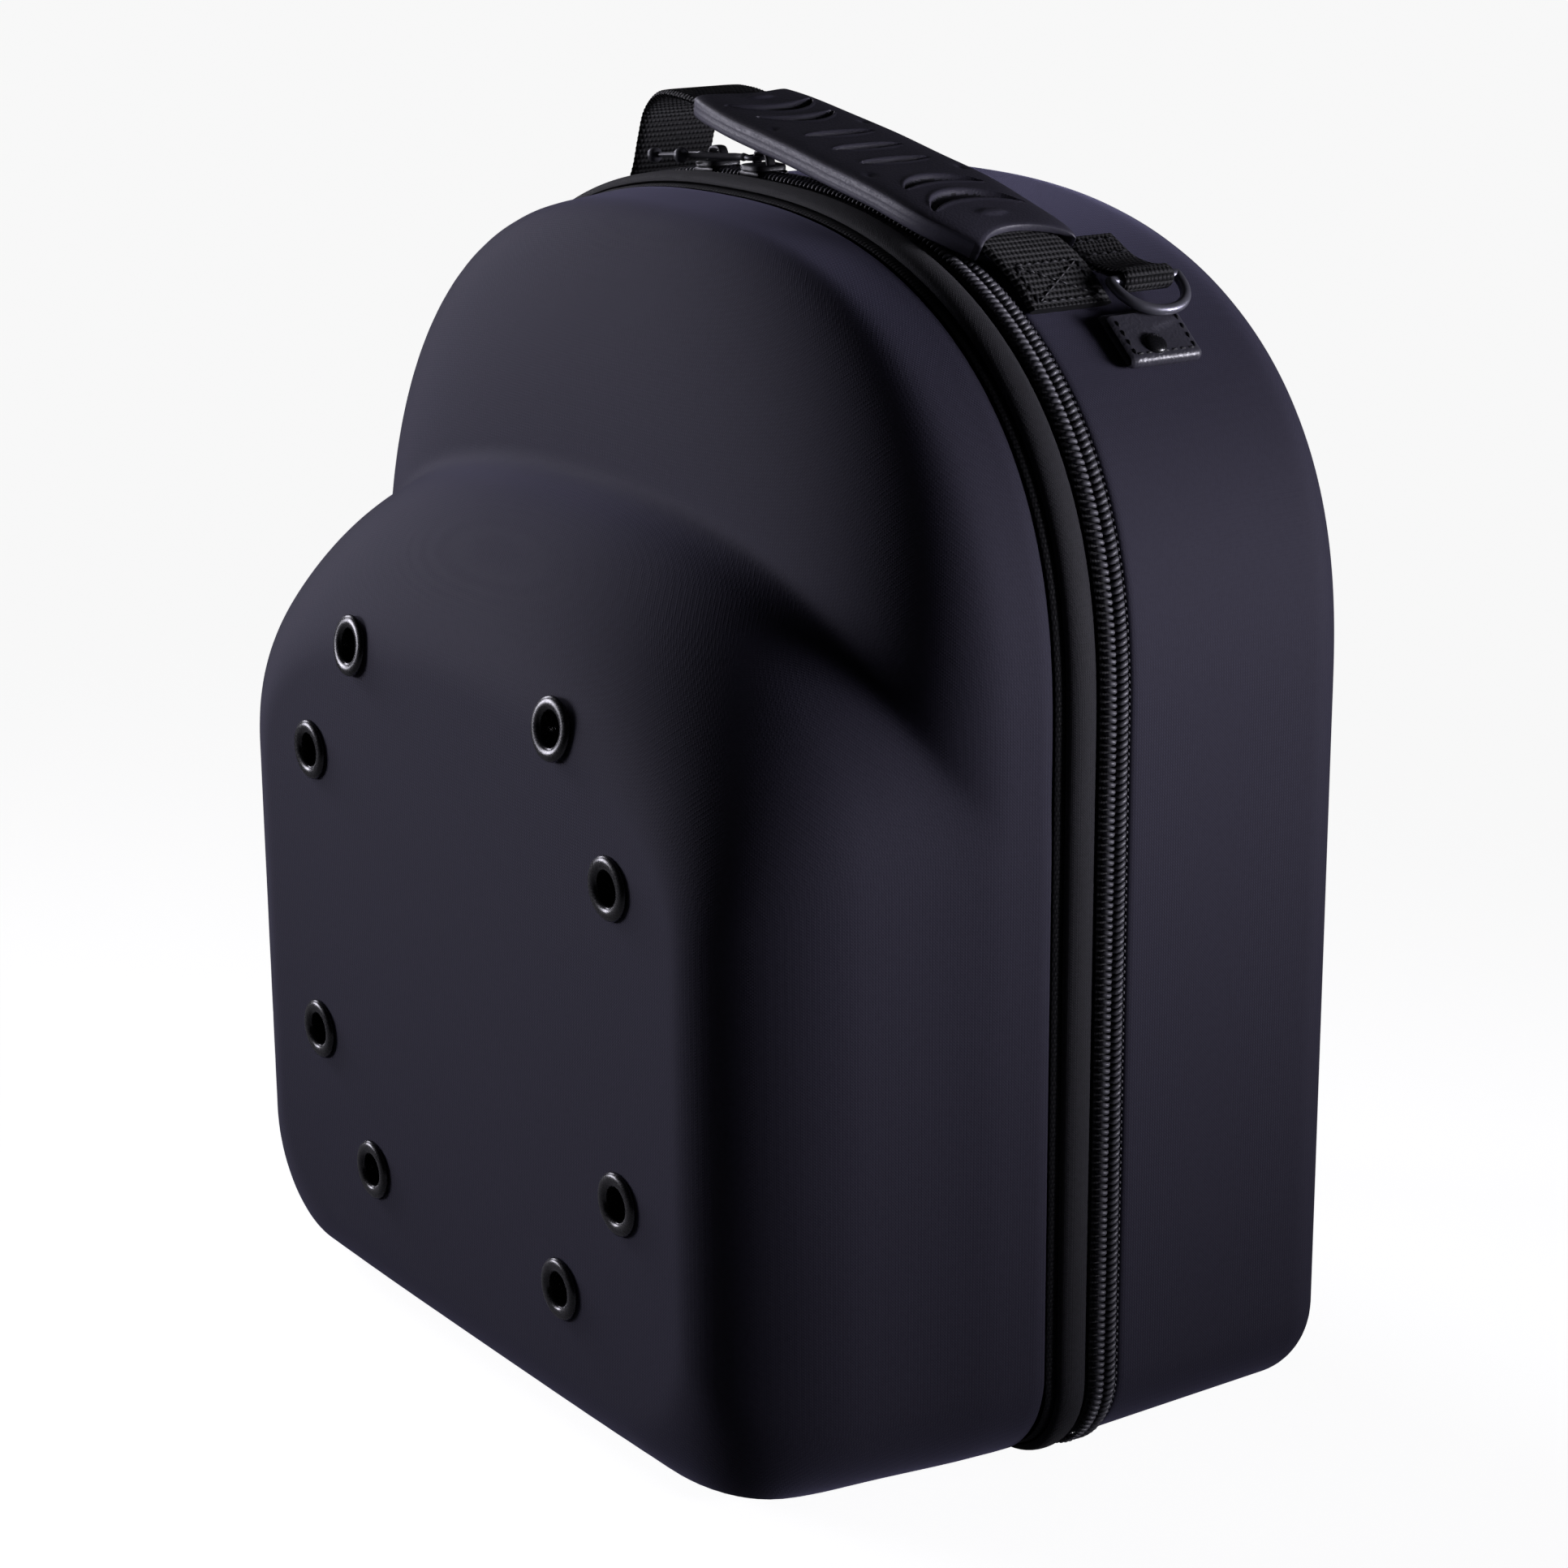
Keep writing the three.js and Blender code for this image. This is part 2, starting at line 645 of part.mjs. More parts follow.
// A D of round wire: straight bar along Y, and a half-ellipse from end to end of it.
function dRing() {
  const face = new THREE.Vector3(-ringLie.z, 0, ringLie.x);
  const halfBar = RING.inner / 2 + RING.wire;
  const reach = RING.reach + RING.wire;
  const route = [];
  for (let i = 0; i <= RING.bends; i++) {
    const turn = (Math.PI * i) / RING.bends;
    const away = reach * Math.abs(Math.sin(turn)) ** RING.squareness;
    route.push({ along: halfBar * Math.cos(turn), away });
  }
  for (const share of [-0.5, 0, 0.5]) {
    route.push({ along: halfBar * share, away: 0 });
  }
  const rings = route.map((here, i) => {
    const next = route[(i + 1) % route.length];
    const last = route[(i + route.length - 1) % route.length];
    const aside = new THREE.Vector2(next.away - last.away, -(next.along - last.along)).normalize();
    const ring = [];
    for (let j = 0; j < RING.sides; j++) {
      const turn = (2 * Math.PI * j) / RING.sides;
      const spread = RING.wire * Math.cos(turn);
      const point = ringBar.clone().addScaledVector(ringLie, here.away + aside.y * spread);
      point.addScaledVector(face, RING.wire * Math.sin(turn));
      point.y += here.along + aside.x * spread;
      ring.push(point);
    }
    return ring;
  });
  return loft(rings, { loop: true });
}

// A flat shape drawn in shoulder terms, x downhill and y outward from a seat, pushed through along Y.
function pushThrough(shape, seat, width) {
  const geometry = new THREE.ExtrudeGeometry(shape, { depth: width, bevelEnabled: false, curveSegments: 10 });
  geometry.translate(0, 0, -width / 2);
  const across = new THREE.Vector3(0, -1, 0);
  const turn = new THREE.Matrix4().makeBasis(seat.down, seat.out, across);
  geometry.applyMatrix4(turn.setPosition(seat.place));
  return geometry;
}

// A webbing loop: a doubled strap sewn flat uphill of the ring, ending in an eye round the bar.
function ringLoop() {
  const eye = RING.wire + LOOP.eyeGap;
  const outer = eye + LOOP.strap / 2;
  const half = LOOP.strap / 2;
  const shape = new THREE.Shape();
  const from = Math.asin(half / outer);
  shape.absarc(0, RING_LIFT, outer, Math.PI - from, -Math.PI + from, true);
  const crook = -outer - LOOP_CROOK.back;
  const crookLift = RING_LIFT - half - LOOP_CROOK.drop;
  const sewn = -LOOP.length * LOOP.sewn;
  const end = GAP - LOOP.endDrop;
  shape.lineTo(crook, crookLift);
  shape.lineTo(sewn, GAP);
  shape.lineTo(-LOOP.length, end);
  shape.lineTo(-LOOP.length, end + LOOP.strap);
  shape.lineTo(sewn, GAP + LOOP.strap);
  shape.lineTo(crook, crookLift + LOOP.strap);
  const round = [];
  for (let i = 0; i < EYE_CORNERS; i++) {
    const turn = (2 * Math.PI * i) / EYE_CORNERS;
    round.push(new THREE.Vector2(eye * Math.cos(turn), RING_LIFT + eye * Math.sin(turn)));
  }
  shape.holes.push(new THREE.Path(round));
  return pushThrough(shape, ringSeat, LOOP.width);
}

// A leather strip folded on itself: lower layer on the shell, rolled end downhill, upper layer back up.
const tabSeat = shoulder((TAB.from + TAB.to) / 2, TAB.y);
function ringTab() {
  const half = (TAB.to - TAB.from) / (2 * tabSeat.down.x);
  const roll = TAB.layer + TAB.fold / 2;
  const low = TAB.lift;
  const shape = new THREE.Shape();
  shape.moveTo(-half, low);
  shape.lineTo(half - roll, low);
  shape.absarc(half - roll, low + roll, roll, -Math.PI / 2, Math.PI / 2, false);
  shape.lineTo(-half + TAB.step, low + 2 * roll);
  shape.lineTo(-half + TAB.step, low + TAB.layer + TAB.fold);
  shape.lineTo(half - roll, low + TAB.layer + TAB.fold);
  shape.absarc(half - roll, low + roll, TAB.fold / 2, Math.PI / 2, -Math.PI / 2, true);
  shape.lineTo(-half, low + TAB.layer);
  const strip = pushThrough(shape, tabSeat, TAB.width);
  const bore = RIVET.shank + GAP;
  const drill = new THREE.CylinderGeometry(bore, bore, DRILL_LENGTH, RIVET_SEGMENTS);
  const hole = placeOnTab(drill, 0);
  return toGeometry(toSolid(strip).subtract(toSolid(hole)));
}

function placeOnTab(geometry, lift) {
  const along = (RIVET.x - tabSeat.place.x) / tabSeat.down.x;
  const across = new THREE.Vector3(0, -1, 0);
  const turn = new THREE.Matrix4().makeBasis(tabSeat.down, tabSeat.out, across);
  const place = tabSeat.place.clone().addScaledVector(tabSeat.down, along).addScaledVector(tabSeat.out, lift);
  place.y = RIVET.y;
  geometry.applyMatrix4(turn.setPosition(place));
  return geometry;
}

function tabRivet() {
  const top = TAB.lift + 2 * TAB.layer + TAB.fold + GAP;
  const rows = [
    [0, RIVET.tipLift - top],
    [RIVET.shank, RIVET.tipLift - top],
    [RIVET.shank, 0],
    [RIVET.head, 0],
    [0.9 * RIVET.head, 0.5 * RIVET.dome],
    [0.55 * RIVET.head, 0.9 * RIVET.dome],
    [0, RIVET.dome],
  ];
  const profile = rows.map(([radius, height]) => new THREE.Vector2(radius, height));
  return placeOnTab(new THREE.LatheGeometry(profile, RIVET_SEGMENTS), top);
}

// The left shoulder's fittings are the right ones mirrored.
function mirrored(geometry) {
  const copy = geometry.index ? geometry.toNonIndexed() : geometry.clone();
  copy.scale(-1, 1, 1);
  const place = copy.attributes.position;
  for (let i = 0; i < place.count; i += 3) {
    for (const read of ["X", "Y", "Z"]) {
      const second = place[`get${read}`](i + 1);
      place[`set${read}`](i + 1, place[`get${read}`](i + 2));
      place[`set${read}`](i + 2, second);
    }
  }
  copy.deleteAttribute("normal");
  copy.deleteAttribute("uv");
  return mergeVertices(copy, 1e-4);
}

function makeShoulderFittings() {
  const fittings = [
    { name: "d_ring", make: dRing, finish: "metal" },
    { name: "ring_loop", make: ringLoop, finish: "webbing" },
    { name: "ring_tab", make: ringTab, finish: "leather" },
    { name: "tab_rivet", make: tabRivet, finish: "metal" },
  ];
  for (const { name, make, finish } of fittings) {
    const geometry = make();
    addPiece(`${name}_right`, geometry, finish);
    addPiece(`${name}_left`, mirrored(geometry), finish);
  }
}

// A slider rides on the chain: a plate with two skirts, and a bridge that holds the pull's ring.
function sliderBody() {
  const { length, width, plate, skirt, lip, bite } = SLIDER;
  const blocks = [new THREE.BoxGeometry(length, width, plate).translate(0, 0, plate / 2)];
  for (const side of [1, -1]) {
    const flank = new THREE.BoxGeometry(length, lip, skirt + bite);
    blocks.push(flank.translate(0, (side * (width - lip)) / 2, (bite - skirt) / 2));
  }
  const reach = length / 2 - BRIDGE.margin;
  const low = plate - bite;
  const high = low + BRIDGE.height;
  const inner = reach - BRIDGE.band;
  const bridge = new THREE.Shape();
  bridge.moveTo(-reach, low);
  bridge.lineTo(-reach + BRIDGE.slant, high);
  bridge.lineTo(reach - BRIDGE.slant, high);
  bridge.lineTo(reach, low);
  bridge.lineTo(inner, low);
  bridge.lineTo(inner - BRIDGE.innerSlant, high - BRIDGE.band);
  bridge.lineTo(-inner + BRIDGE.innerSlant, high - BRIDGE.band);
  bridge.lineTo(-inner, low);
  const arch = new THREE.ExtrudeGeometry(bridge, { depth: BRIDGE.width, bevelEnabled: false });
  blocks.push(arch.rotateX(Math.PI / 2).translate(0, BRIDGE.width / 2, 0));
  return join(blocks);
}

// A pull: a wire ring, a slim bar and a ball, drawn along -X from the ring's centre.
function pullBody() {
  const { ring, wire, bar, shoulder: taper, length, ball, ballRows, neck } = PULL;
  const loop = new THREE.TorusGeometry(ring, wire, PULL_SEGMENTS.tube, PULL_SEGMENTS.ring);
  const rows = [
    [0, ring - wire / 3],
    [bar * 0.8, ring - wire / 3],
    [bar, ring + taper],
    [bar * 0.7, length - ball],
  ];
  for (let i = 1; i < ballRows; i++) {
    const turn = Math.PI * (neck + ((1 - neck) * i) / ballRows);
    rows.push([ball * Math.sin(turn), length - ball * Math.cos(turn)]);
  }
  rows.push([0, length + ball]);
  const profile = rows.map(([radius, height]) => new THREE.Vector2(radius, height));
  const stem = new THREE.LatheGeometry(profile, PULL_SEGMENTS.bar).rotateZ(Math.PI / 2);
  return join([loop, stem]);
}

function makeSliders() {
  const ridge = CHAIN_SECTION[(CHAIN_SECTION.length - 1) / 2];
  const lift = ridge.out + GAP;
  SLIDER_PLACES.forEach(({ x, swing, dip }, i) => {
    const height = (at) => archHeight(at, HALF_WIDTH, HEIGHT, SPRING, SIDE_POWER, TOP_POWER);
    const slope = Math.atan(height(x + 0.5) - height(x - 0.5));
    const seat = new THREE.Group();
    seat.position.set(x - Math.sin(slope) * lift, ridge.y, height(x) + Math.cos(slope) * lift);
    seat.rotation.y = -slope;
    carrier.add(seat);
    const body = addPiece(`zip_slider_${i + 1}`, sliderBody(), "metal");
    seat.add(body);
    const pull = addPiece(`zip_pull_${i + 1}`, pullBody(), "metal");
    const leg = (BRIDGE.band + BRIDGE.innerSlant) / 2 + BRIDGE.margin - SLIDER.length / 2;
    pull.position.set(leg, 0, SLIDER.plate + (BRIDGE.height - BRIDGE.band) / 2);
    pull.rotation.set(0, THREE.MathUtils.degToRad(dip), THREE.MathUtils.degToRad(-swing));
    seat.add(pull);
  });
}

makeFrontShell();
makeRearShell();
makeZip();
makeWebbing();
makeGrip();
makeShoulderFittings();
makeSliders();

export default carrier;
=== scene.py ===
# %% [markdown]
# # A cap carrier, piece by piece
# The object is a moulded case for caps: two stiff foam shells faced with dark cloth, closed by a long
# zip over the top, with a webbing handle, two D-rings and eight eyelets that let the caps breathe.
# The packed CAD model is loaded first, as a fixed frame in metres. Each piece is then built again with
# the detail that a solid model leaves out, in the place of the solid that it stands for.

# %% Load the frame
import math

import bmesh
import bpy
import numpy as np
from mathutils import Matrix, Vector


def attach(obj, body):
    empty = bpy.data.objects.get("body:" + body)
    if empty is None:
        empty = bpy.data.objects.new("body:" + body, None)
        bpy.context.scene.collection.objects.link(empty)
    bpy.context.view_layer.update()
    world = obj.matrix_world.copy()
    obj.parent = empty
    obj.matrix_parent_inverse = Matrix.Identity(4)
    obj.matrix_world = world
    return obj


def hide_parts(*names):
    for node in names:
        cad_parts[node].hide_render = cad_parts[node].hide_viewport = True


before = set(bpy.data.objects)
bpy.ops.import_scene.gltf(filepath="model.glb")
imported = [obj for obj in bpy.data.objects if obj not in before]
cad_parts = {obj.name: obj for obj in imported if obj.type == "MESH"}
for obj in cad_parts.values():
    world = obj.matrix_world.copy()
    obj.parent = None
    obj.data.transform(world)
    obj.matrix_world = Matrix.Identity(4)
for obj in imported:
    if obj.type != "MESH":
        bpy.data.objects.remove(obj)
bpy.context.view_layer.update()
scene = bpy.context.scene
MM = 0.001

# %% [markdown]
# ## The camera
# The picture was taken from the right of the front and a little above, with a long lens. A camera can be
# aimed with a constraint, but here its axes are worked out from an azimuth, an elevation and a small
# roll, because then nothing depends on Blender's own render size.

# %% Camera at the photograph's angle
AZIMUTH = math.radians(55.37)
ELEVATION = math.radians(16.32)
ROLL = math.radians(-0.39)
TARGET = Vector((-5.92, 5.57, 129.9)) * MM
DISTANCE = 0.9161
LENS_MM, SENSOR_MM = 85.19, 36
NEAREST, FARTHEST = 0.05, 60


def camera_axes():
    """Right, up and back directions of the camera."""
    flat = math.cos(ELEVATION)
    back = Vector((math.sin(AZIMUTH) * flat, -math.cos(AZIMUTH) * flat, math.sin(ELEVATION)))
    right = Vector((math.cos(AZIMUTH), math.sin(AZIMUTH), 0))
    up = back.cross(right)
    turned_right = right * math.cos(ROLL) + up * math.sin(ROLL)
    turned_up = up * math.cos(ROLL) - right * math.sin(ROLL)
    return turned_right, turned_up, back


view_right, view_up, view_back = camera_axes()
lens = bpy.data.cameras.new("photo_camera")
lens.lens = LENS_MM
lens.sensor_width = SENSOR_MM
lens.clip_start, lens.clip_end = NEAREST, FARTHEST
camera = bpy.data.objects.new("photo_camera", lens)
turn = Matrix((view_right, view_up, view_back)).transposed().to_4x4()
camera.matrix_world = Matrix.Translation(TARGET + view_back * DISTANCE) @ turn
scene.collection.objects.link(camera)
scene.camera = camera
print("camera at", [round(v, 3) for v in camera.matrix_world.translation])

# %% [markdown]
# ## Studio light
# The photograph was lit from both sides, nearly square to the camera's view. Walls that face a soft box
# come out slate blue, and every edge that faces the camera goes dark, which is what shows the moulded
# shape. Each box has an aim, and its place is a turn round from the camera and a lift above or below
# level. The floor looks white to the camera, but it lights nothing, because the case is dark towards
# its foot.

# %% Lamps and world
LAMPS = {
    "left_box": {"turn": -112, "lift": 5, "size": 0.6, "power": 0.53, "aim": (0.16, -0.08, 0.24)},
    "left_high": {"turn": -138, "lift": 20, "size": 0.6, "power": 0.29, "aim": (-0.02, -0.06, 0.25)},
    "right_fill": {"turn": 77, "lift": 0, "size": 0.6, "power": 1.15, "aim": (0.12, -0.16, 0.37)},
    "right_box": {"turn": 88, "lift": -6, "size": 0.6, "power": 0.68, "aim": (0.12, 0.0, 0.54)},
}
LAMP_REACH, LAMP_SPREAD = 1.4, math.radians(30)
LAMP_TINT = (0.9, 0.88, 1.0)
AMBIENT = 0.01
SEEN_WHITE, FELT_BLUE = (0.98, 0.98, 0.985, 1), (0.80, 0.82, 0.90, 1)
level_back = Vector((view_back.x, view_back.y, 0)).normalized()
level_right = Vector((view_right.x, view_right.y, 0)).normalized()
for name, box in LAMPS.items():
    lamp = bpy.data.lights.new(name, "AREA")
    lamp.shape = "SQUARE"
    lamp.size = box["size"]
    lamp.energy, lamp.color = box["power"], LAMP_TINT
    lamp.spread = LAMP_SPREAD
    turn, lift = math.radians(box["turn"]), math.radians(box["lift"])
    level = level_back * math.cos(turn) + level_right * math.sin(turn)
    aim = Vector(box["aim"])
    place = aim + LAMP_REACH * (level * math.cos(lift) + Vector((0, 0, math.sin(lift))))
    holder = bpy.data.objects.new(name, lamp)
    holder.matrix_world = (
        Matrix.Translation(place) @ (aim - place).to_track_quat("-Z", "Y").to_matrix().to_4x4()
    )
    scene.collection.objects.link(holder)

scene.view_settings.view_transform = "Standard"
world = bpy.data.worlds.new("studio")
world.use_nodes = True
scene.world = world
nodes, links = world.node_tree.nodes, world.node_tree.links
nodes.clear()
seen = nodes.new("ShaderNodeBackground")
seen.inputs["Color"].default_value = SEEN_WHITE
felt = nodes.new("ShaderNodeBackground")
felt.inputs["Color"].default_value = FELT_BLUE
felt.inputs["Strength"].default_value = AMBIENT
ray = nodes.new("ShaderNodeLightPath")
mix = nodes.new("ShaderNodeMixShader")
out = nodes.new("ShaderNodeOutputWorld")
links.new(ray.outputs["Is Camera Ray"], mix.inputs["Fac"])
links.new(felt.outputs[0], mix.inputs[1])
links.new(seen.outputs[0], mix.inputs[2])
links.new(mix.outputs[0], out.inputs["Surface"])
print("lamps:", ", ".join(LAMPS))

# %% The pale floor
FLOOR_REACH, FLOOR_DROP = 8.0, 0.0004
FLOOR_GLOW, FLOOR_SPECKLE = 0.93, 3
FLOOR_TONES = (0.86, 0.86, 0.87, 1), (0.90, 0.90, 0.91, 1)


def new_finish(name, roughness, **sockets):
    """A material with one Principled shader; sockets are constant inputs set on the shader itself."""
    material = bpy.data.materials.new(name)
    material.use_nodes = True
    shader = material.node_tree.nodes["Principled BSDF"]
    shader.inputs["Roughness"].default_value = roughness
    for key, value in sockets.items():
        shader.inputs[key.replace("_", " ")].default_value = value
    return material, material.node_tree, shader


floor_paint, tree, shader = new_finish("floor_paint", 0.7, Emission_Color=(1, 1, 1, 1))
speckle = tree.nodes.new("ShaderNodeTexNoise")
speckle.inputs["Scale"].default_value = FLOOR_SPECKLE
ramp = tree.nodes.new("ShaderNodeValToRGB")
for stop, tone in zip(ramp.color_ramp.elements, FLOOR_TONES):
    stop.color = tone
tree.links.new(speckle.outputs["Fac"], ramp.inputs["Fac"])
tree.links.new(ramp.outputs["Color"], shader.inputs["Base Color"])
ray = tree.nodes.new("ShaderNodeLightPath")
glow = tree.nodes.new("ShaderNodeMath")
glow.operation = "MULTIPLY"
glow.inputs[1].default_value = FLOOR_GLOW
tree.links.new(ray.outputs["Is Camera Ray"], glow.inputs[0])
tree.links.new(glow.outputs[0], shader.inputs["Emission Strength"])
mesh = bpy.data.meshes.new("floor")
corners = [(x * FLOOR_REACH, y * FLOOR_REACH) for x, y in ((-1, -1), (1, -1), (1, 1), (-1, 1))]
mesh.from_pydata([(x, y, -FLOOR_DROP) for x, y in corners], [], [(0, 1, 2, 3)])
mesh.materials.append(floor_paint)
floor = bpy.data.objects.new("floor", mesh)
floor.visible_diffuse = False
scene.collection.objects.link(floor)
print("floor is", 2 * FLOOR_REACH, "m wide")

# %% [markdown]
# ## Effects that several finishes share
# Cloth, tape and webbing all show threads, every surface is a little patchy, and hard edges rub paler.
# Each of these is one node group with its own inputs, placed in each material with other values. The
# threads of the shells come from sine waves in all three directions, so they need no unwrapping and
# look alike on every side. Straps have a real direction, so their weave follows a map in metres.

# %% Helpers for node trees
def add(tree, kind, inputs=None, **settings):
    """A new shader node; each input is a value, or a socket to link from."""
    made = tree.nodes.new("ShaderNode" + kind)
    for key, value in settings.items():
        setattr(made, key, value)
    for key, value in (inputs or {}).items():
        if isinstance(value, bpy.types.NodeSocket):
            tree.links.new(value, made.inputs[key])
        else:
            made.inputs[key].default_value = value
    return made


def calc(tree, operation, a, b=0.0, c=0.0):
    """The outcome of one Math node."""
    return add(tree, "Math", {0: a, 1: b, 2: c}, operation=operation).outputs[0]


def mixed(tree, factor, a, b):
    """A colour between a and b."""
    made = tree.nodes.new("ShaderNodeMix")
    made.data_type = "RGBA"
    for socket, value in ((made.inputs[0], factor), (made.inputs[6], a), (made.inputs[7], b)):
        if isinstance(value, bpy.types.NodeSocket):
            tree.links.new(value, socket)
        elif isinstance(value, float):
            socket.default_value = value
        else:
            socket.default_value = (*value, 1)
    return made.outputs[2]


def new_group(name, takes, gives):
    """An empty node group with float inputs and outputs."""
    tree = bpy.data.node_groups.new(name, "ShaderNodeTree")
    for label, start in takes.items():
        socket = tree.interface.new_socket(label, in_out="INPUT", socket_type="NodeSocketFloat")
        socket.default_value = start
    for label in gives:
        tree.interface.new_socket(label, in_out="OUTPUT", socket_type="NodeSocketFloat")
    print(f"effect {name}: takes {', '.join(takes)}; gives {', '.join(gives)}")
    entry = tree.nodes.new("NodeGroupInput").outputs
    return tree, entry, tree.nodes.new("NodeGroupOutput").inputs


EFFECTS = {}


def effect(tree, name, **values):
    """One shared effect placed in a material with its own values; returns its outputs."""
    made = tree.nodes.new("ShaderNodeGroup")
    made.node_tree = EFFECTS[name]
    for key, value in values.items():
        made.inputs[key].default_value = value
    return made.outputs


print("node helpers ready; shared effects so far:", len(EFFECTS))

# %% Threads of a fine cloth, in all directions
def fine_threads():
    """Waves along X, Y and Z, crossed in pairs, with a drift so that no thread is quite straight."""
    tree, takes, gives = new_group("fine_threads", {"Pitch": 0.0008, "Wander": 2.0}, ["Height", "Thread"])
    place = add(tree, "TexCoord").outputs["Object"]
    drift = add(tree, "TexNoise", {"Vector": place, "Scale": 420.0, "Detail": 2.0}).outputs["Color"]
    pace = calc(tree, "DIVIDE", 2 * math.pi, takes["Pitch"])
    even = add(tree, "VectorMath", {0: place, "Scale": pace}, operation="SCALE").outputs[0]
    stray = add(tree, "VectorMath", {0: drift, "Scale": takes["Wander"]}, operation="SCALE").outputs[0]
    course = add(tree, "VectorMath", {0: even, 1: stray}, operation="ADD").outputs[0]
    axes = add(tree, "SeparateXYZ", {0: course}).outputs
    waves = [calc(tree, "SINE", axis) for axis in axes]
    pairs = [calc(tree, "MULTIPLY", waves[k], waves[(k + 1) % 3]) for k in range(3)]
    total = calc(tree, "ADD", calc(tree, "ADD", pairs[0], pairs[1]), pairs[2])
    height = calc(tree, "MULTIPLY_ADD", total, 0.3, 0.5)
    tree.links.new(height, gives["Height"])
    tree.links.new(calc(tree, "SMOOTH_MIN", height, 1.0, 0.2), gives["Thread"])
    return tree


EFFECTS["fine_threads"] = fine_threads()

# %% Ribs of a woven strap, along and across its map
STRAP_MAP = "lie"


def strap_weave():
    """Ribs across the strap, with yarns that change step from one rib to the next."""
    tree, takes, gives = new_group("strap_weave", {"Rib": 0.0013, "Yarn": 0.0009}, ["Height", "Thread"])
    lie = add(tree, "UVMap", uv_map=STRAP_MAP).outputs["UV"]
    axes = add(tree, "SeparateXYZ", {0: lie}).outputs
    ribs = calc(tree, "DIVIDE", axes[0], takes["Rib"])
    row = calc(tree, "FLOOR", ribs)
    rib = calc(tree, "ABSOLUTE", calc(tree, "SINE", calc(tree, "MULTIPLY", ribs, math.pi)))
    shift = calc(tree, "MULTIPLY", calc(tree, "MODULO", row, 2.0), 0.5)
    yarns = calc(tree, "ADD", calc(tree, "DIVIDE", axes[1], takes["Yarn"]), shift)
    yarn = calc(tree, "ABSOLUTE", calc(tree, "SINE", calc(tree, "MULTIPLY", yarns, math.pi)))
    knot = calc(tree, "MULTIPLY", rib, yarn)
    tree.links.new(calc(tree, "MULTIPLY_ADD", rib, 0.45, calc(tree, "MULTIPLY", knot, 0.55)), gives["Height"])
    tree.links.new(calc(tree, "POWER", knot, 1.6), gives["Thread"])
    return tree


EFFECTS["strap_weave"] = strap_weave()

# %% Patches and specks
def patches():
    """Broad soft patches, and specks with a sharper edge."""
    tree, takes, gives = new_group("patches", {"Patch": 0.05, "Speck": 0.002}, ["Tone", "Specks"])
    place = add(tree, "TexCoord").outputs["Object"]
    broad = calc(tree, "DIVIDE", 1.0, takes["Patch"])
    fine = calc(tree, "DIVIDE", 1.0, takes["Speck"])
    tone = add(tree, "TexNoise", {"Vector": place, "Scale": broad, "Detail": 3.0}).outputs["Fac"]
    specks = add(tree, "TexNoise", {"Vector": place, "Scale": fine, "Detail": 1.0}).outputs["Fac"]
    tree.links.new(tone, gives["Tone"])
    sharp = add(tree, "MapRange", {"Value": specks, "From Min": 0.42, "From Max": 0.66}).outputs[0]
    tree.links.new(sharp, gives["Specks"])
    return tree


EFFECTS["patches"] = patches()

# %% Rubbed edges
def rubbed_edges():
    """A ragged mask on edges that stand out, where a surface rubs paler."""
    tree, takes, gives = new_group("rubbed_edges", {"Start": 0.52, "End": 0.62, "Break": 0.004}, ["Rub"])
    edge = add(tree, "NewGeometry").outputs["Pointiness"]
    place = add(tree, "TexCoord").outputs["Object"]
    pace = calc(tree, "DIVIDE", 1.0, takes["Break"])
    ragged = add(tree, "TexNoise", {"Vector": place, "Scale": pace, "Detail": 4.0}).outputs["Fac"]
    span = {"Value": edge, "From Min": takes["Start"], "From Max": takes["End"]}
    rub = add(tree, "MapRange", span).outputs[0]
    tree.links.new(calc(tree, "MULTIPLY", rub, ragged), gives["Rub"])
    return tree


EFFECTS["rubbed_edges"] = rubbed_edges()

# %% [markdown]
# ## The finishes
# The shells, binding and tape are matt cloths that differ in thread, tone and sheen. Straps are ribbed,
# the coil and the grip are moulded, the tabs are coated leather and the fittings are dark metal. Every
# finish varies in tone and roughness, and its relief is a bump of a fraction of a millimetre. Sheen, coat
# and other values that are the same all over stay on the shader's own sockets.

# %% Cloth and strap finishes
def bumped(tree, shader, height, distance, strength=1.0):
    """Relief from a height, as deep as the distance in metres."""
    bump = add(tree, "Bump", {"Height": height, "Distance": distance, "Strength": strength})
    tree.links.new(bump.outputs[0], shader.inputs["Normal"])


def varied_roughness(tree, shader, value, low, high):
    """Roughness from low to high as the value goes from 0 to 1."""
    made = add(tree, "MapRange", {"Value": value, "To Min": low, "To Max": high})
    tree.links.new(made.outputs[0], shader.inputs["Roughness"])


def cloth(name, dark, light, pitch, relief, rough, patch=0.06, **sockets):
    """A fine cloth: threads lighter on top, patchy in tone, matt with a soft sheen."""
    material, tree, shader = new_finish(name, rough[1], **sockets)
    thread = effect(tree, "fine_threads", Pitch=pitch)
    patch = effect(tree, "patches", Patch=patch, Speck=pitch * 1.6)
    lift = calc(tree, "MULTIPLY_ADD", thread["Thread"], 0.5, calc(tree, "MULTIPLY", patch["Tone"], 0.3))
    pitted = calc(tree, "MULTIPLY_ADD", patch["Specks"], -0.36, lift)
    tree.links.new(mixed(tree, pitted, dark, light), shader.inputs["Base Color"])
    varied_roughness(tree, shader, thread["Thread"], *rough)
    bumped(tree, shader, thread["Height"], relief, 0.7)
    return material


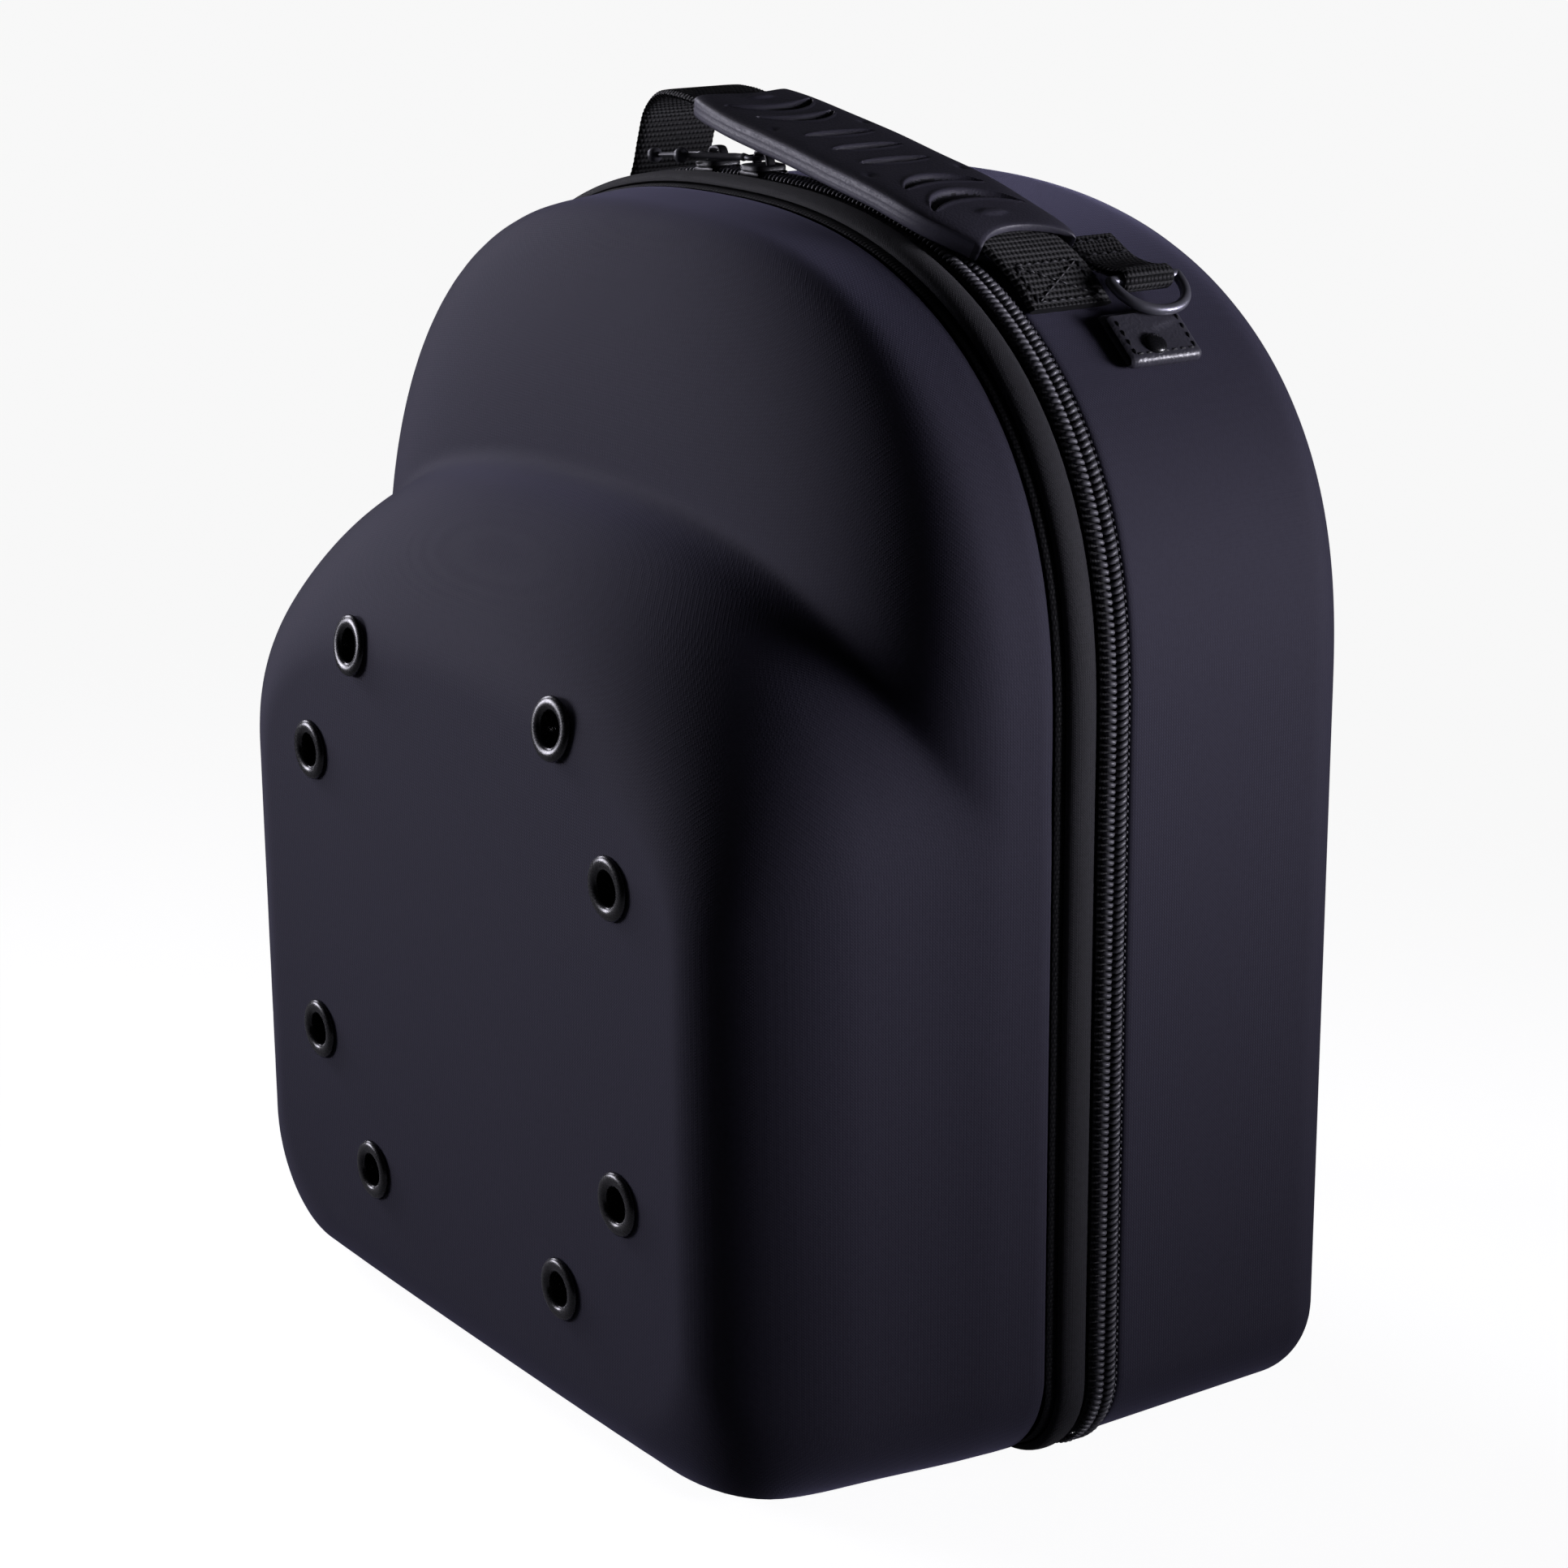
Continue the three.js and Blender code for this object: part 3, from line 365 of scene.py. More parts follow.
def strap(name, dark, light, rib, yarn, relief, **sockets):
    """A ribbed strap: yarns over ribs, pale where they stand up and rub."""
    material, tree, shader = new_finish(name, 0.6, **sockets)
    weave = effect(tree, "strap_weave", Rib=rib, Yarn=yarn)
    patch = effect(tree, "patches", Patch=0.02, Speck=0.0008)
    lift = calc(tree, "MULTIPLY", weave["Thread"], calc(tree, "MULTIPLY_ADD", patch["Specks"], 0.5, 0.5))
    tree.links.new(mixed(tree, lift, dark, light), shader.inputs["Base Color"])
    varied_roughness(tree, shader, patch["Tone"], 0.5, 0.75)
    bumped(tree, shader, weave["Height"], relief)
    return material


SOFT_SHEEN = {"Sheen_Weight": 0.3, "Sheen_Roughness": 0.45, "Sheen_Tint": (0.66, 0.64, 1.0, 1)}
shell_cloth = cloth(
    "shell_cloth", (0.024, 0.0222, 0.033), (0.033, 0.0305, 0.0445), 0.0007, 0.00005, (0.70, 0.78),
    Specular_IOR_Level=0.3, Specular_Tint=(0.8, 0.78, 1.0, 1), **SOFT_SHEEN,
)
lining_cloth = cloth(
    "lining_cloth", (0.010, 0.010, 0.013), (0.022, 0.022, 0.027), 0.0012, 0.0001, (0.8, 0.95),
    Specular_IOR_Level=0.2, Sheen_Weight=0.1,
)
binding_cloth = cloth(
    "binding_cloth", (0.014, 0.0136, 0.0162), (0.029, 0.0282, 0.034), 0.0006, 0.00009, (0.66, 0.82),
    patch=0.02, Specular_IOR_Level=0.25, Sheen_Weight=0.08, Sheen_Roughness=0.5,
)
tape_cloth = strap(
    "tape_cloth", (0.004, 0.004, 0.005), (0.016, 0.016, 0.019), 0.0011, 0.0007, 0.0001,
    Specular_IOR_Level=0.25,
)
ribbed_webbing = strap(
    "ribbed_webbing", (0.002, 0.002, 0.0024), (0.013, 0.0128, 0.0148), 0.0015, 0.0012, 0.00035,
    Specular_IOR_Level=0.3, Sheen_Weight=0.05, Sheen_Roughness=0.4,
)
print("cloths:", shell_cloth.name, lining_cloth.name, binding_cloth.name, tape_cloth.name)

# %% Moulded, leather and metal finishes
def moulded(name, dark, light, grain, relief, rough, rub=(0.2, 0.2, 0.22), **sockets):
    """A hard or rubbery skin: patchy, finely grained, paler along rubbed edges."""
    material, tree, shader = new_finish(name, rough[0], **sockets)
    patch = effect(tree, "patches", Patch=0.012, Speck=grain)
    edges = effect(tree, "rubbed_edges", Start=0.53, End=0.68, Break=grain * 5)
    body = mixed(tree, patch["Tone"], dark, light)
    tree.links.new(mixed(tree, edges["Rub"], body, rub), shader.inputs["Base Color"])
    varied_roughness(tree, shader, patch["Specks"], *rough)
    bumped(tree, shader, patch["Specks"], relief, 0.5)
    return material


coil_nylon = moulded(
    "coil_nylon", (0.080, 0.079, 0.088), (0.125, 0.123, 0.138), 0.0003, 0.00002, (0.4, 0.52),
    rub=(0.12, 0.12, 0.14), Specular_IOR_Level=0.6,
)
sewing_thread = moulded(
    "sewing_thread", (0.006, 0.006, 0.007), (0.015, 0.015, 0.017), 0.0002, 0.00004, (0.5, 0.65),
    rub=(0.05, 0.05, 0.06),
)
grip_rubber = moulded(
    "grip_rubber", (0.044, 0.042, 0.057), (0.062, 0.059, 0.081), 0.0006, 0.00004, (0.42, 0.56),
    rub=(0.065, 0.063, 0.085), Specular_IOR_Level=0.5,
)
# A darker copy of the grip rubber: painted shade on the floors of the grooves.
grip_painted_shade = moulded(
    "grip_painted_shade", (0.006, 0.0058, 0.008), (0.010, 0.0095, 0.013), 0.0006, 0.00004, (0.5, 0.62),
    rub=(0.03, 0.03, 0.04), Specular_IOR_Level=0.4,
)
# A paler copy of the grip rubber: painted light on the grip's sides, where the side lamps fall.
grip_painted_light = moulded(
    "grip_painted_light", (0.094, 0.091, 0.127), (0.130, 0.126, 0.174), 0.0006, 0.00003, (0.45, 0.6),
    rub=(0.15, 0.15, 0.19), Specular_IOR_Level=0.5,
)
coated_leather = moulded(
    "coated_leather", (0.042, 0.041, 0.052), (0.068, 0.066, 0.083), 0.0009, 0.00008, (0.32, 0.46),
    rub=(0.19, 0.19, 0.22), Specular_IOR_Level=0.55, Coat_Weight=0.15, Coat_Roughness=0.25,
)
dark_steel = moulded(
    "dark_steel", (0.17, 0.17, 0.2), (0.25, 0.25, 0.29), 0.0005, 0.00001, (0.34, 0.46),
    rub=(0.4, 0.4, 0.43), Metallic=0.6,
)
black_enamel = moulded(
    "black_enamel", (0.006, 0.006, 0.007), (0.011, 0.011, 0.013), 0.0004, 0.000008, (0.24, 0.36),
    rub=(0.04, 0.04, 0.045), Specular_IOR_Level=0.5, Coat_Weight=0.3, Coat_Roughness=0.2,
)
slider_metal = moulded(
    "slider_metal", (0.012, 0.012, 0.014), (0.022, 0.022, 0.025), 0.0004, 0.000008, (0.34, 0.46),
    rub=(0.06, 0.06, 0.066), Specular_IOR_Level=0.4,
)
pull_metal = moulded(
    "pull_metal", (0.060, 0.060, 0.068), (0.110, 0.110, 0.122), 0.0004, 0.000008, (0.32, 0.44),
    rub=(0.2, 0.2, 0.22), Metallic=0.2, Specular_IOR_Level=0.5,
)
print("hard finishes:", coil_nylon.name, grip_rubber.name, coated_leather.name, dark_steel.name)

# %% [markdown]
# ## A way to build pieces
# Most pieces here are skins stretched over a stack of rings, or rows of short threads. A small class
# gathers their points in millimetres and their faces, keeps a map in metres of how far along and across
# each corner lies, and turns the whole into one closed mesh that rides on its CAD body.

# %% Helpers for lines and meshes
CREASE = 38


def run_length(points):
    """How far along a line each point lies."""
    steps = np.linalg.norm(np.diff(points, axis=0), axis=1)
    return np.concatenate([[0.0], np.cumsum(steps)])


def unit(vectors):
    """Vectors of the same directions, one long."""
    return vectors / np.maximum(np.linalg.norm(vectors, axis=-1, keepdims=True), 1e-9)


def outward(mesh):
    """Turns every face of a closed mesh outward."""
    work = bmesh.new()
    work.from_mesh(mesh)
    bmesh.ops.recalc_face_normals(work, faces=work.faces)
    work.to_mesh(mesh)
    work.free()


def smooth(mesh, crease):
    """Shades a mesh smooth, but for edges that turn by more than crease degrees."""
    mesh.polygons.foreach_set("use_smooth", [True] * len(mesh.polygons))
    mesh.set_sharp_from_angle(angle=math.radians(crease))
    mesh.update()


def evenly(points, count, closed=False):
    """Count points at even steps along a line."""
    points = np.asarray(points, float)
    if closed:
        points = np.vstack([points, points[:1]])
    length = run_length(points)
    goals = np.linspace(0, length[-1], count, endpoint=not closed)
    return np.stack([np.interp(goals, length, points[:, k]) for k in range(points.shape[1])], 1)


print("edges sharper than", CREASE, "degrees stay crisp")

# %% The blank that pieces are made from
class Blank:
    """One piece in the making: points, faces, each face's finish and its corners' places on the map."""

    def __init__(self):
        self.points, self.faces, self.finishes, self.lie = [], [], [], []
        self.count = 0

    def take(self, points):
        first = self.count
        self.points.append(points.reshape(-1, 3))
        self.count += points.size // 3
        return first

    def skin(self, rings, loop=False, ends=True, tips=(None, None), finish=0):
        """Quads over a stack of closed rings; finish is one number, or one for each row of quads."""
        rings = np.asarray(rings, float)
        rows, columns = rings.shape[:2]
        first = self.take(rings)
        i = np.arange(rows if loop else rows - 1)
        i, j = (part.ravel() for part in np.meshgrid(i, np.arange(columns), indexing="ij"))
        corners = [(i, j), (i, j + 1), (i + 1, j + 1), (i + 1, j)]
        quads = np.stack([first + (a % rows) * columns + b % columns for a, b in corners], 1)
        middles = rings.mean(1)
        along = run_length(np.vstack([middles, middles[:1]]))
        belt = rings[rows // 2]
        across = run_length(np.vstack([belt, belt[:1]]))
        lie = np.stack([np.stack([along[a], across[b]], 1) for a, b in corners], 1) * MM
        self.faces.extend(quads.tolist())
        self.lie.extend(lie.reshape(-1, 2).tolist())
        each = np.broadcast_to(np.asarray(finish).reshape(-1, 1), (i[-1] + 1, columns))
        self.finishes.extend(each.ravel().tolist())
        if ends and not loop:
            outermost = self.finishes[-len(quads)], self.finishes[-1]
            self.shut(first, columns, tips[0], outermost[0], True)
            self.shut(first + (rows - 1) * columns, columns, tips[1], outermost[1], False)

    def shut(self, first, columns, tip, finish, start):
        """Closes a ring, with one flat face or with a fan to a tip."""
        ring = list(range(first, first + columns))
        if start:
            ring.reverse()
        if tip is None:
            fan = [ring]
        else:
            top = self.take(np.asarray(tip, float))
            fan = [[ring[k], ring[(k + 1) % columns], top] for k in range(columns)]
        for face in fan:
            self.faces.append(face)
            self.finishes.append(finish)
            self.lie.extend([[0.0, 0.0]] * len(face))

    def threads(self, lines, ups, wide, tall, sides=6, finish=0):
        """Many short tubes: lines is (n, rows, 3), ups is each row's upward side, wide and tall its radii."""
        lines, ups = np.broadcast_arrays(np.asarray(lines, float), np.asarray(ups, float))
        along = np.gradient(lines, axis=1)
        beside = unit(np.cross(along, ups))
        turn = 2 * np.pi * (np.arange(sides) + 0.5) / sides
        wide, tall = (np.broadcast_to(r, lines.shape[:2])[..., None, None] for r in (wide, tall))
        sideways = beside[:, :, None] * np.cos(turn)[:, None] * wide
        upward = ups[:, :, None] * np.sin(turn)[:, None] * tall
        tubes = lines[:, :, None] + (sideways + upward)
        count, rows = lines.shape[:2]
        first = self.take(tubes)
        n, i, j = np.meshgrid(np.arange(count), np.arange(rows - 1), np.arange(sides), indexing="ij")
        corners = [(i, j), (i, j + 1), (i + 1, j + 1), (i + 1, j)]
        quads = np.stack([first + (n * rows + a) * sides + b % sides for a, b in corners], -1).reshape(-1, 4)
        starts = first + np.arange(count)[:, None] * rows * sides
        caps = np.vstack([starts + np.arange(sides)[::-1], starts + (rows - 1) * sides + np.arange(sides)])
        self.faces.extend(quads.tolist() + caps.tolist())
        self.finishes.extend([finish] * (len(quads) + len(caps)))
        self.lie.extend([[0.0, 0.0]] * (4 * len(quads) + sides * len(caps)))

    def piece(self, name, materials, slot, nodes=None, body="case", crease=CREASE):
        """The finished object: smooth but for creases, riding on its body and standing for its nodes."""
        mesh = bpy.data.meshes.new(name)
        mesh.from_pydata((np.vstack(self.points) * MM).tolist(), [], self.faces)
        for material in materials:
            mesh.materials.append(material)
        mesh.polygons.foreach_set("material_index", self.finishes)
        layer = mesh.uv_layers.new(name=STRAP_MAP)
        layer.data.foreach_set("uv", np.asarray(self.lie, np.float32).ravel())
        outward(mesh)
        made = bpy.data.objects.new(name, mesh)
        scene.collection.objects.link(made)
        smooth(mesh, crease)
        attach(made, body)
        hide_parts(*(nodes or [name]))
        print(f"{name}: {len(mesh.vertices)} points, {len(mesh.polygons)} faces")
        return made


print("a blank keeps its", ", ".join(vars(Blank())))

# %% [markdown]
# ## The arched outline
# Seen from the front the case is a tall arch: straight sides, rounded bottom corners and a top that is
# squarer than a half circle. Two superellipse powers give that top. All of the shells, the binding and
# the zip follow this one outline, so it is worked out once, with sizes in millimetres as in the CAD.

# %% Outline of the case
HALF_WIDTH, HEIGHT, SPRING, CORNER = 127.4, 280.0, 172.1, 21.8
SIDE_POWER, TOP_POWER = 2.4, 2.52
WALL = 4.0
QUARTER_STEPS = 240


def arch_height(x, half_width, top, spring, side_power=SIDE_POWER, top_power=TOP_POWER):
    across = np.minimum(np.abs(x) / half_width, 1) ** (side_power / 2)
    return spring + (top - spring) * np.sqrt(1 - across**2) ** (2 / top_power)


def half_outline(inset, floor, corner):
    """Right half of the arch as x and z, from the bottom's middle to the top's."""
    half, top = HALF_WIDTH - inset, HEIGHT - inset
    turn = np.linspace(0, np.pi / 2, QUARTER_STEPS)
    bottom = np.column_stack([half - corner + corner * np.sin(turn), floor + corner * (1 - np.cos(turn))])
    arch_x = half * np.cos(turn) ** (2 / SIDE_POWER)
    arch_z = SPRING + (top - SPRING) * np.sin(turn) ** (2 / TOP_POWER)
    return np.vstack([[[0, floor]], bottom, np.column_stack([arch_x, arch_z])])


def outline(inset, floor, corner, count):
    """A whole lap of the arch at even steps, anticlockwise from the bottom's middle."""
    right = evenly(half_outline(inset, floor, corner), count // 2 + 1)
    return np.vstack([right, right[-2:0:-1] * (-1, 1)])


lap = outline(0, 0, CORNER, 400)
print("outline is", round(run_length(lap)[-1]), "mm round")

# %% [markdown]
# ## The front shell
# The front is one moulding with two bulges, a crown above and a deeper bill pocket below, which melt
# into each other along a soft valley. A cushion could be simulated, but this is stiff foam, pressed in a
# heated mould, so its shape is a rule: how deep each bulge reaches over each point of the face. The
# deeper bulge wins, and a smooth blend rounds the valley. Profiles run from the rim to the middle of the
# face and are spaced by length, so that the steep walls get as many rings as the flat front.

# %% Depth of the front over a point of its face
FRONT_INSET, FRONT_RIM, FACE_CENTRE = 0.9, 14.5, 112.0
CROWN = {
    "depth": 51.4, "draft": 0.11, "top": HEIGHT - FRONT_INSET, "spring": SPRING, "spring_fall": 0.5,
    "side_power": 2.4, "top_power": 2.52, "corner": 25.9,
    "side": (26, 30), "crest": (22.6, 71), "base": (1, 0),
}
BILL = {
    "depth": 91.9, "draft": 0.13, "top": 218, "spring": 145, "spring_fall": 0.3,
    "side_power": 2.37, "top_power": 2.37, "corner": 25.9,
    "side": (32.3, 22), "crest": (47, 35.3), "base": (23, 17.7),
}
CROWN_DOME = 1.9
VALLEY = {"edge": 14, "middle": 44, "reach": 118, "power": 4}
LOWEST_ARCH = 5
HALVINGS = 26


def edge_inset(depth, form_depth, draft, turn):
    """How far an edge has come in at a depth: straight draft, then a quarter ellipse."""
    deep, wide = turn
    share = np.clip((depth - (form_depth - deep)) / deep, 0, 1)
    return draft * depth + wide * (1 - np.sqrt(1 - share**2))


def form_reaches(form, skin, x, z, depth):
    """True where a bulge, taken in by skin, still reaches the depth."""
    deepest = form["depth"] - skin
    half = HALF_WIDTH - FRONT_INSET - skin - edge_inset(depth, deepest, form["draft"], form["side"])
    fall = edge_inset(depth, deepest, form["draft"], form["crest"])
    floor = skin + edge_inset(depth, deepest, 0, form["base"])
    top = form["top"] - skin - fall
    spring = np.minimum(form["spring"] - form["spring_fall"] * fall, top - LOWEST_ARCH)
    under = z <= arch_height(x, half, top, spring, form["side_power"], form["top_power"])
    beside = np.maximum(np.abs(x) - (half - form["corner"]), 0)
    below = np.maximum(floor + form["corner"] - z, 0)
    inside = (z >= floor) & (np.hypot(beside, below) <= form["corner"])
    return (np.abs(x) <= half) & np.where(z >= spring, under, inside)


def form_depth(form, skin, x, z):
    low, high = np.zeros_like(x), np.full_like(x, form["depth"] - skin)
    for _ in range(HALVINGS):
        half = (low + high) / 2
        reached = form_reaches(form, skin, x, z, half)
        low, high = np.where(reached, half, low), np.where(reached, high, half)
    return np.where(form_reaches(form, skin, x, z, np.zeros_like(x)), low, 0)


def front_depth(x, z, skin=0.0):
    """Depth of the front's outside over x and z; skin takes it in to the lining."""
    x, z = np.asarray(x, float), np.asarray(z, float)
    crown, bill = form_depth(CROWN, skin, x, z), form_depth(BILL, skin, x, z)
    across = x / (HALF_WIDTH - FRONT_INSET)
    crown = crown + CROWN_DOME * np.maximum(1 - across**2, 0) * (crown / CROWN["depth"]) ** 2
    soft = np.maximum(1 - (x / VALLEY["reach"]) ** VALLEY["power"], 0)
    blend = VALLEY["edge"] + (VALLEY["middle"] - VALLEY["edge"]) * soft
    near = np.maximum(blend - np.abs(crown - bill), 0) / blend
    both = (crown > 0) & (bill > 0)
    return np.maximum(crown, bill) + np.where(both, near**2 * blend / 4, 0)


print("front is", round(float(front_depth(0, FACE_CENTRE)), 1), "mm deep at its middle")

# %% Profiles of the front from rim to middle
FACE_LAP = 400
PROFILE_SAMPLES = 260
RIM_CROWDING = 2.2
FRONT_RINGS = {"outside": 104, "lining": 34}
RIM_ROUND = {"front": 1.6, "rear": 1.5}
RIM_CLEAR = 1.15


def front_rings(skin, count):
    """Rings of the front's outside or lining, from its rim to just short of the middle."""
    edge = outline(0, 0, CORNER, FACE_LAP)
    share = 1 - (np.arange(PROFILE_SAMPLES + 1) / PROFILE_SAMPLES)[:, None] ** RIM_CROWDING
    x = edge[:, 0] * share
    z = FACE_CENTRE + (edge[:, 1] - FACE_CENTRE) * share
    depth = front_depth(x, z, skin)
    profiles = []
    for k in range(FACE_LAP):
        trail = np.column_stack([x[:, k], -depth[:, k], z[:, k]])
        trail = np.vstack([[edge[k, 0], 0, edge[k, 1]], trail])
        start = int(np.argmax(trail[:, 1] <= -FRONT_RIM))
        before, after = trail[start - 1], trail[start]
        part = (FRONT_RIM + before[1]) / (before[1] - after[1])
        trail = np.vstack([before + (after - before) * part, trail[start:]])
        profiles.append(evenly(trail, count + 1)[:-1])
    return np.stack(profiles, 1)


def rounded_rim(rings, radius, steps=5):
    """Rings that turn an edge inward, as cloth wraps over a cut foam edge."""
    inner = rings[0] * (1, 0, 1)
    middle = np.array([0, 0, FACE_CENTRE])
    toward = unit(middle - inner)
    back = unit(rings[1] - rings[0])
    turned = []
    for turn in np.linspace(np.pi / 2, 0, steps, endpoint=False):
        turned.append(rings[0] + toward * radius * (1 - np.cos(turn)) + back * radius * (1 - np.sin(turn)))
    keep = np.linalg.norm(rings[:, 0] - rings[0, 0], axis=1) > RIM_CLEAR * radius
    keep[-1] = True
    return np.concatenate([np.stack(turned), rings[keep]])


outside = rounded_rim(front_rings(0.0, FRONT_RINGS["outside"]), RIM_ROUND["front"])
lining = front_rings(WALL, FRONT_RINGS["lining"])[::-1]
print("front profile rings:", len(outside), "outside and", len(lining), "inside")

# %% Eight holes and the front shell itself
EYELET_PLACES = [(46, 171.5), (68.4, 140.8), (69.7, 67.8), (44.2, 38.3)]
EYELET_HOLE = {"radius": 5.0, "reach": 14, "sides": 40}


def front_normal(x, z, step=1.0):
    across_x = front_depth(x + step, z) - front_depth(x - step, z)
    across_z = front_depth(x, z + step) - front_depth(x, z - step)
    return Vector((-float(across_x), -2 * step, -float(across_z))).normalized()


def eyelet_seats():
    """Each eyelet's place and turn, with its own +Z pointing out of the face."""
    seats = []
    for side in (1, -1):
        for x, z in EYELET_PLACES:
            place = Vector((side * x, -float(front_depth(side * x, z)), z))
            turn = front_normal(side * x, z).to_track_quat("Z", "Y").to_matrix().to_4x4()
            seats.append(Matrix.Translation(place) @ turn)
    return seats


def placed(points, seat):
    """Points of a piece drawn at the origin, moved to its seat."""
    seat = np.array(seat)
    return np.asarray(points, float) @ seat[:3, :3].T + seat[:3, 3]


def drilled(shell, seats, radius, reach, sides):
    """The shell with a round hole at each seat."""
    turn = 2 * np.pi * np.arange(sides) / sides
    circle = np.column_stack([radius * np.cos(turn), radius * np.sin(turn), np.zeros(sides)])
    drill = Blank()
    for seat in seats:
        drill.skin([placed(circle + (0, 0, lift), seat) for lift in (-reach, reach)])
    mesh = bpy.data.meshes.new("drill")
    mesh.from_pydata((np.vstack(drill.points) * MM).tolist(), [], drill.faces)
    outward(mesh)
    cutter = bpy.data.objects.new("drill", mesh)
    scene.collection.objects.link(cutter)
    cut = shell.modifiers.new("holes", "BOOLEAN")
    cut.operation, cut.solver, cut.object = "DIFFERENCE", "MANIFOLD", cutter
    bpy.context.view_layer.update()
    graph = bpy.context.evaluated_depsgraph_get()
    pierced = bpy.data.meshes.new_from_object(shell.evaluated_get(graph))
    shell.modifiers.clear()
    shell.data = pierced
    bpy.data.objects.remove(cutter)


def lined_shell(name, lining, outside, tips):
    """A closed shell from the lining's middle, over the rim, to the outside's middle."""
    rows = np.arange(len(lining) + len(outside) - 1)
    blank = Blank()
    blank.skin(np.concatenate([lining, outside]), tips=tips, finish=np.where(rows < len(lining), 1, 0))
    return blank.piece(name, [shell_cloth, lining_cloth], "shell_fabric")


tips = [[0, -float(front_depth(0, FACE_CENTRE, skin)), FACE_CENTRE] for skin in (WALL, 0.0)]
front_shell = lined_shell("front_shell", lining, outside, tips)
drilled(front_shell, eyelet_seats(), **EYELET_HOLE)
smooth(front_shell.data, CREASE)
print("front shell after drilling:", len(front_shell.data.polygons), "faces")

# %% [markdown]
# ## The rear shell
# The back half is a plain deep tray with a rounded back edge. It is lofted from the same outline: a few
# levels of slightly drafted wall, a quarter round, and rings that shrink to the middle of the flat back.

# %% Rear shell
REAR_INSET, REAR_RIM, REAR_DEPTH, REAR_ROUND = 1.9, 5.8, 73.0, 13.7
REAR_DRAFT, REAR_TIGHTEST = 0.01, 6
BACK_MIDDLE = 130.0
OUTSIDE_STEPS = {"wall": 26, "edge": 14, "back": 14}
LINING_STEPS = {"wall": 8, "edge": 7, "back": 8}


def rear_rings(skin, steps):
    """Rings of the tray's outside or lining, from its rim over the round edge to the back's middle."""
    flat_end = REAR_DEPTH - REAR_ROUND
    radius = REAR_ROUND - skin
    walls = np.linspace(REAR_RIM, flat_end, steps["wall"])
    levels = [(y, REAR_INSET + skin + REAR_DRAFT * y, skin) for y in walls]
    lean = levels[-1][1]
    for turn in np.linspace(0, np.pi / 2, steps["edge"])[1:]:
        inset = radius * (1 - np.cos(turn))
        levels.append((flat_end + radius * np.sin(turn), lean + inset, skin + inset))
    rings = []
    for y, inset, floor in levels:
        corner = max(CORNER + REAR_INSET - inset, REAR_TIGHTEST)
        ring = outline(inset, floor, corner, FACE_LAP)
        rings.append(np.column_stack([ring[:, 0], np.full(FACE_LAP, y), ring[:, 1]]))
    middle = np.array([0, REAR_DEPTH - skin, BACK_MIDDLE])
    last = rings[-1]
    for share in np.linspace(0, 1, steps["back"] + 1)[1:-1]:
        rings.append(last + (middle - last) * share)
    return np.stack(rings), middle


outside, back_tip = rear_rings(0.0, OUTSIDE_STEPS)
lining, lining_tip = rear_rings(WALL, LINING_STEPS)
outside = rounded_rim(outside, RIM_ROUND["rear"])
rear_shell = lined_shell("rear_shell", lining[::-1], outside, (lining_tip, back_tip))

# %% [markdown]
# ## Eyelets
# Each eyelet is a stamped metal grommet: a domed flange in front, a barrel through the wall and a washer
# behind, all in gloss black. A turned profile is the natural way to make one; more steps over the dome
# give it the round highlight that the photograph shows.

# %% Eyelets
BORE, BARREL, FLANGE, DOME, WASHER = 4.0, 4.6, 7.4, 1.2, 6.6
FLANGE_LIFT = 0.25
TURNED_SIDES = 56


def turned(profile, sides=TURNED_SIDES):
    """Rings of a turned piece about +Z from rows of radius and height."""
    turn = 2 * np.pi * np.arange(sides) / sides
    circle = np.column_stack([np.cos(turn), np.sin(turn), np.zeros(sides)])
    return np.stack([circle * radius + (0, 0, height) for radius, height in profile])


def eyelet_profile():
    """Radius and height round the section, from the bore's mouth over the dome to the washer."""
    middle, half = (BORE + FLANGE) / 2, (FLANGE - BORE) / 2
    sweep = np.linspace(np.pi, 0, 16)
    dome = [(middle + half * np.cos(a), FLANGE_LIFT + DOME * np.sin(a) ** 0.8) for a in sweep]
    under = [(FLANGE - 0.15, FLANGE_LIFT - 0.2), (BARREL + 0.2, FLANGE_LIFT - 0.25), (BARREL, -0.2)]
    behind = [(BARREL, -WALL - 0.1), (WASHER - 0.2, -WALL - 0.15), (WASHER, -WALL - 0.35)]
    curl = [(WASHER - 0.3, -WALL - 0.85), (BORE + 0.9, -WALL - 1.1)]
    curl += [(BORE + 0.2, -WALL - 0.9), (BORE, -WALL - 0.5)]
    return dome + under + behind + curl


for number, seat in enumerate(eyelet_seats(), 1):
    blank = Blank()
    blank.skin([placed(ring, seat) for ring in turned(eyelet_profile())], loop=True)
    blank.piece(f"eyelet_{number}", [black_enamel], "black_metal", crease=50)

# %% [markdown]
# ## The zip
# A soft rolled binding finishes the front's rim, and a long coil zip runs beside it, from under one
# bottom corner over the top to the other. A picture of a zip would look flat from the side, so its coil
# is real: two rows of slanted nylon turns that meet in a V, and a row of sewn loops beyond the longer one.

# %% The zip's route and the binding beside it
ZIP_FLOOR, ZIP_TAIL = 1.0, 4.0
ROUTE_STEPS = 460


def zip_route(count):
    """Places and outward directions at even steps along the zip, from the right tail to the left."""
    half = half_outline(0, ZIP_FLOOR, CORNER)
    tail = HALF_WIDTH - CORNER - ZIP_TAIL
    right = np.vstack([[[tail, ZIP_FLOOR]], half[1:]])
    whole = evenly(np.vstack([right, right[-2::-1] * (-1, 1)]), count)
    along = unit(np.gradient(whole, axis=0))
    return whole, np.column_stack([along[:, 1], -along[:, 0]])


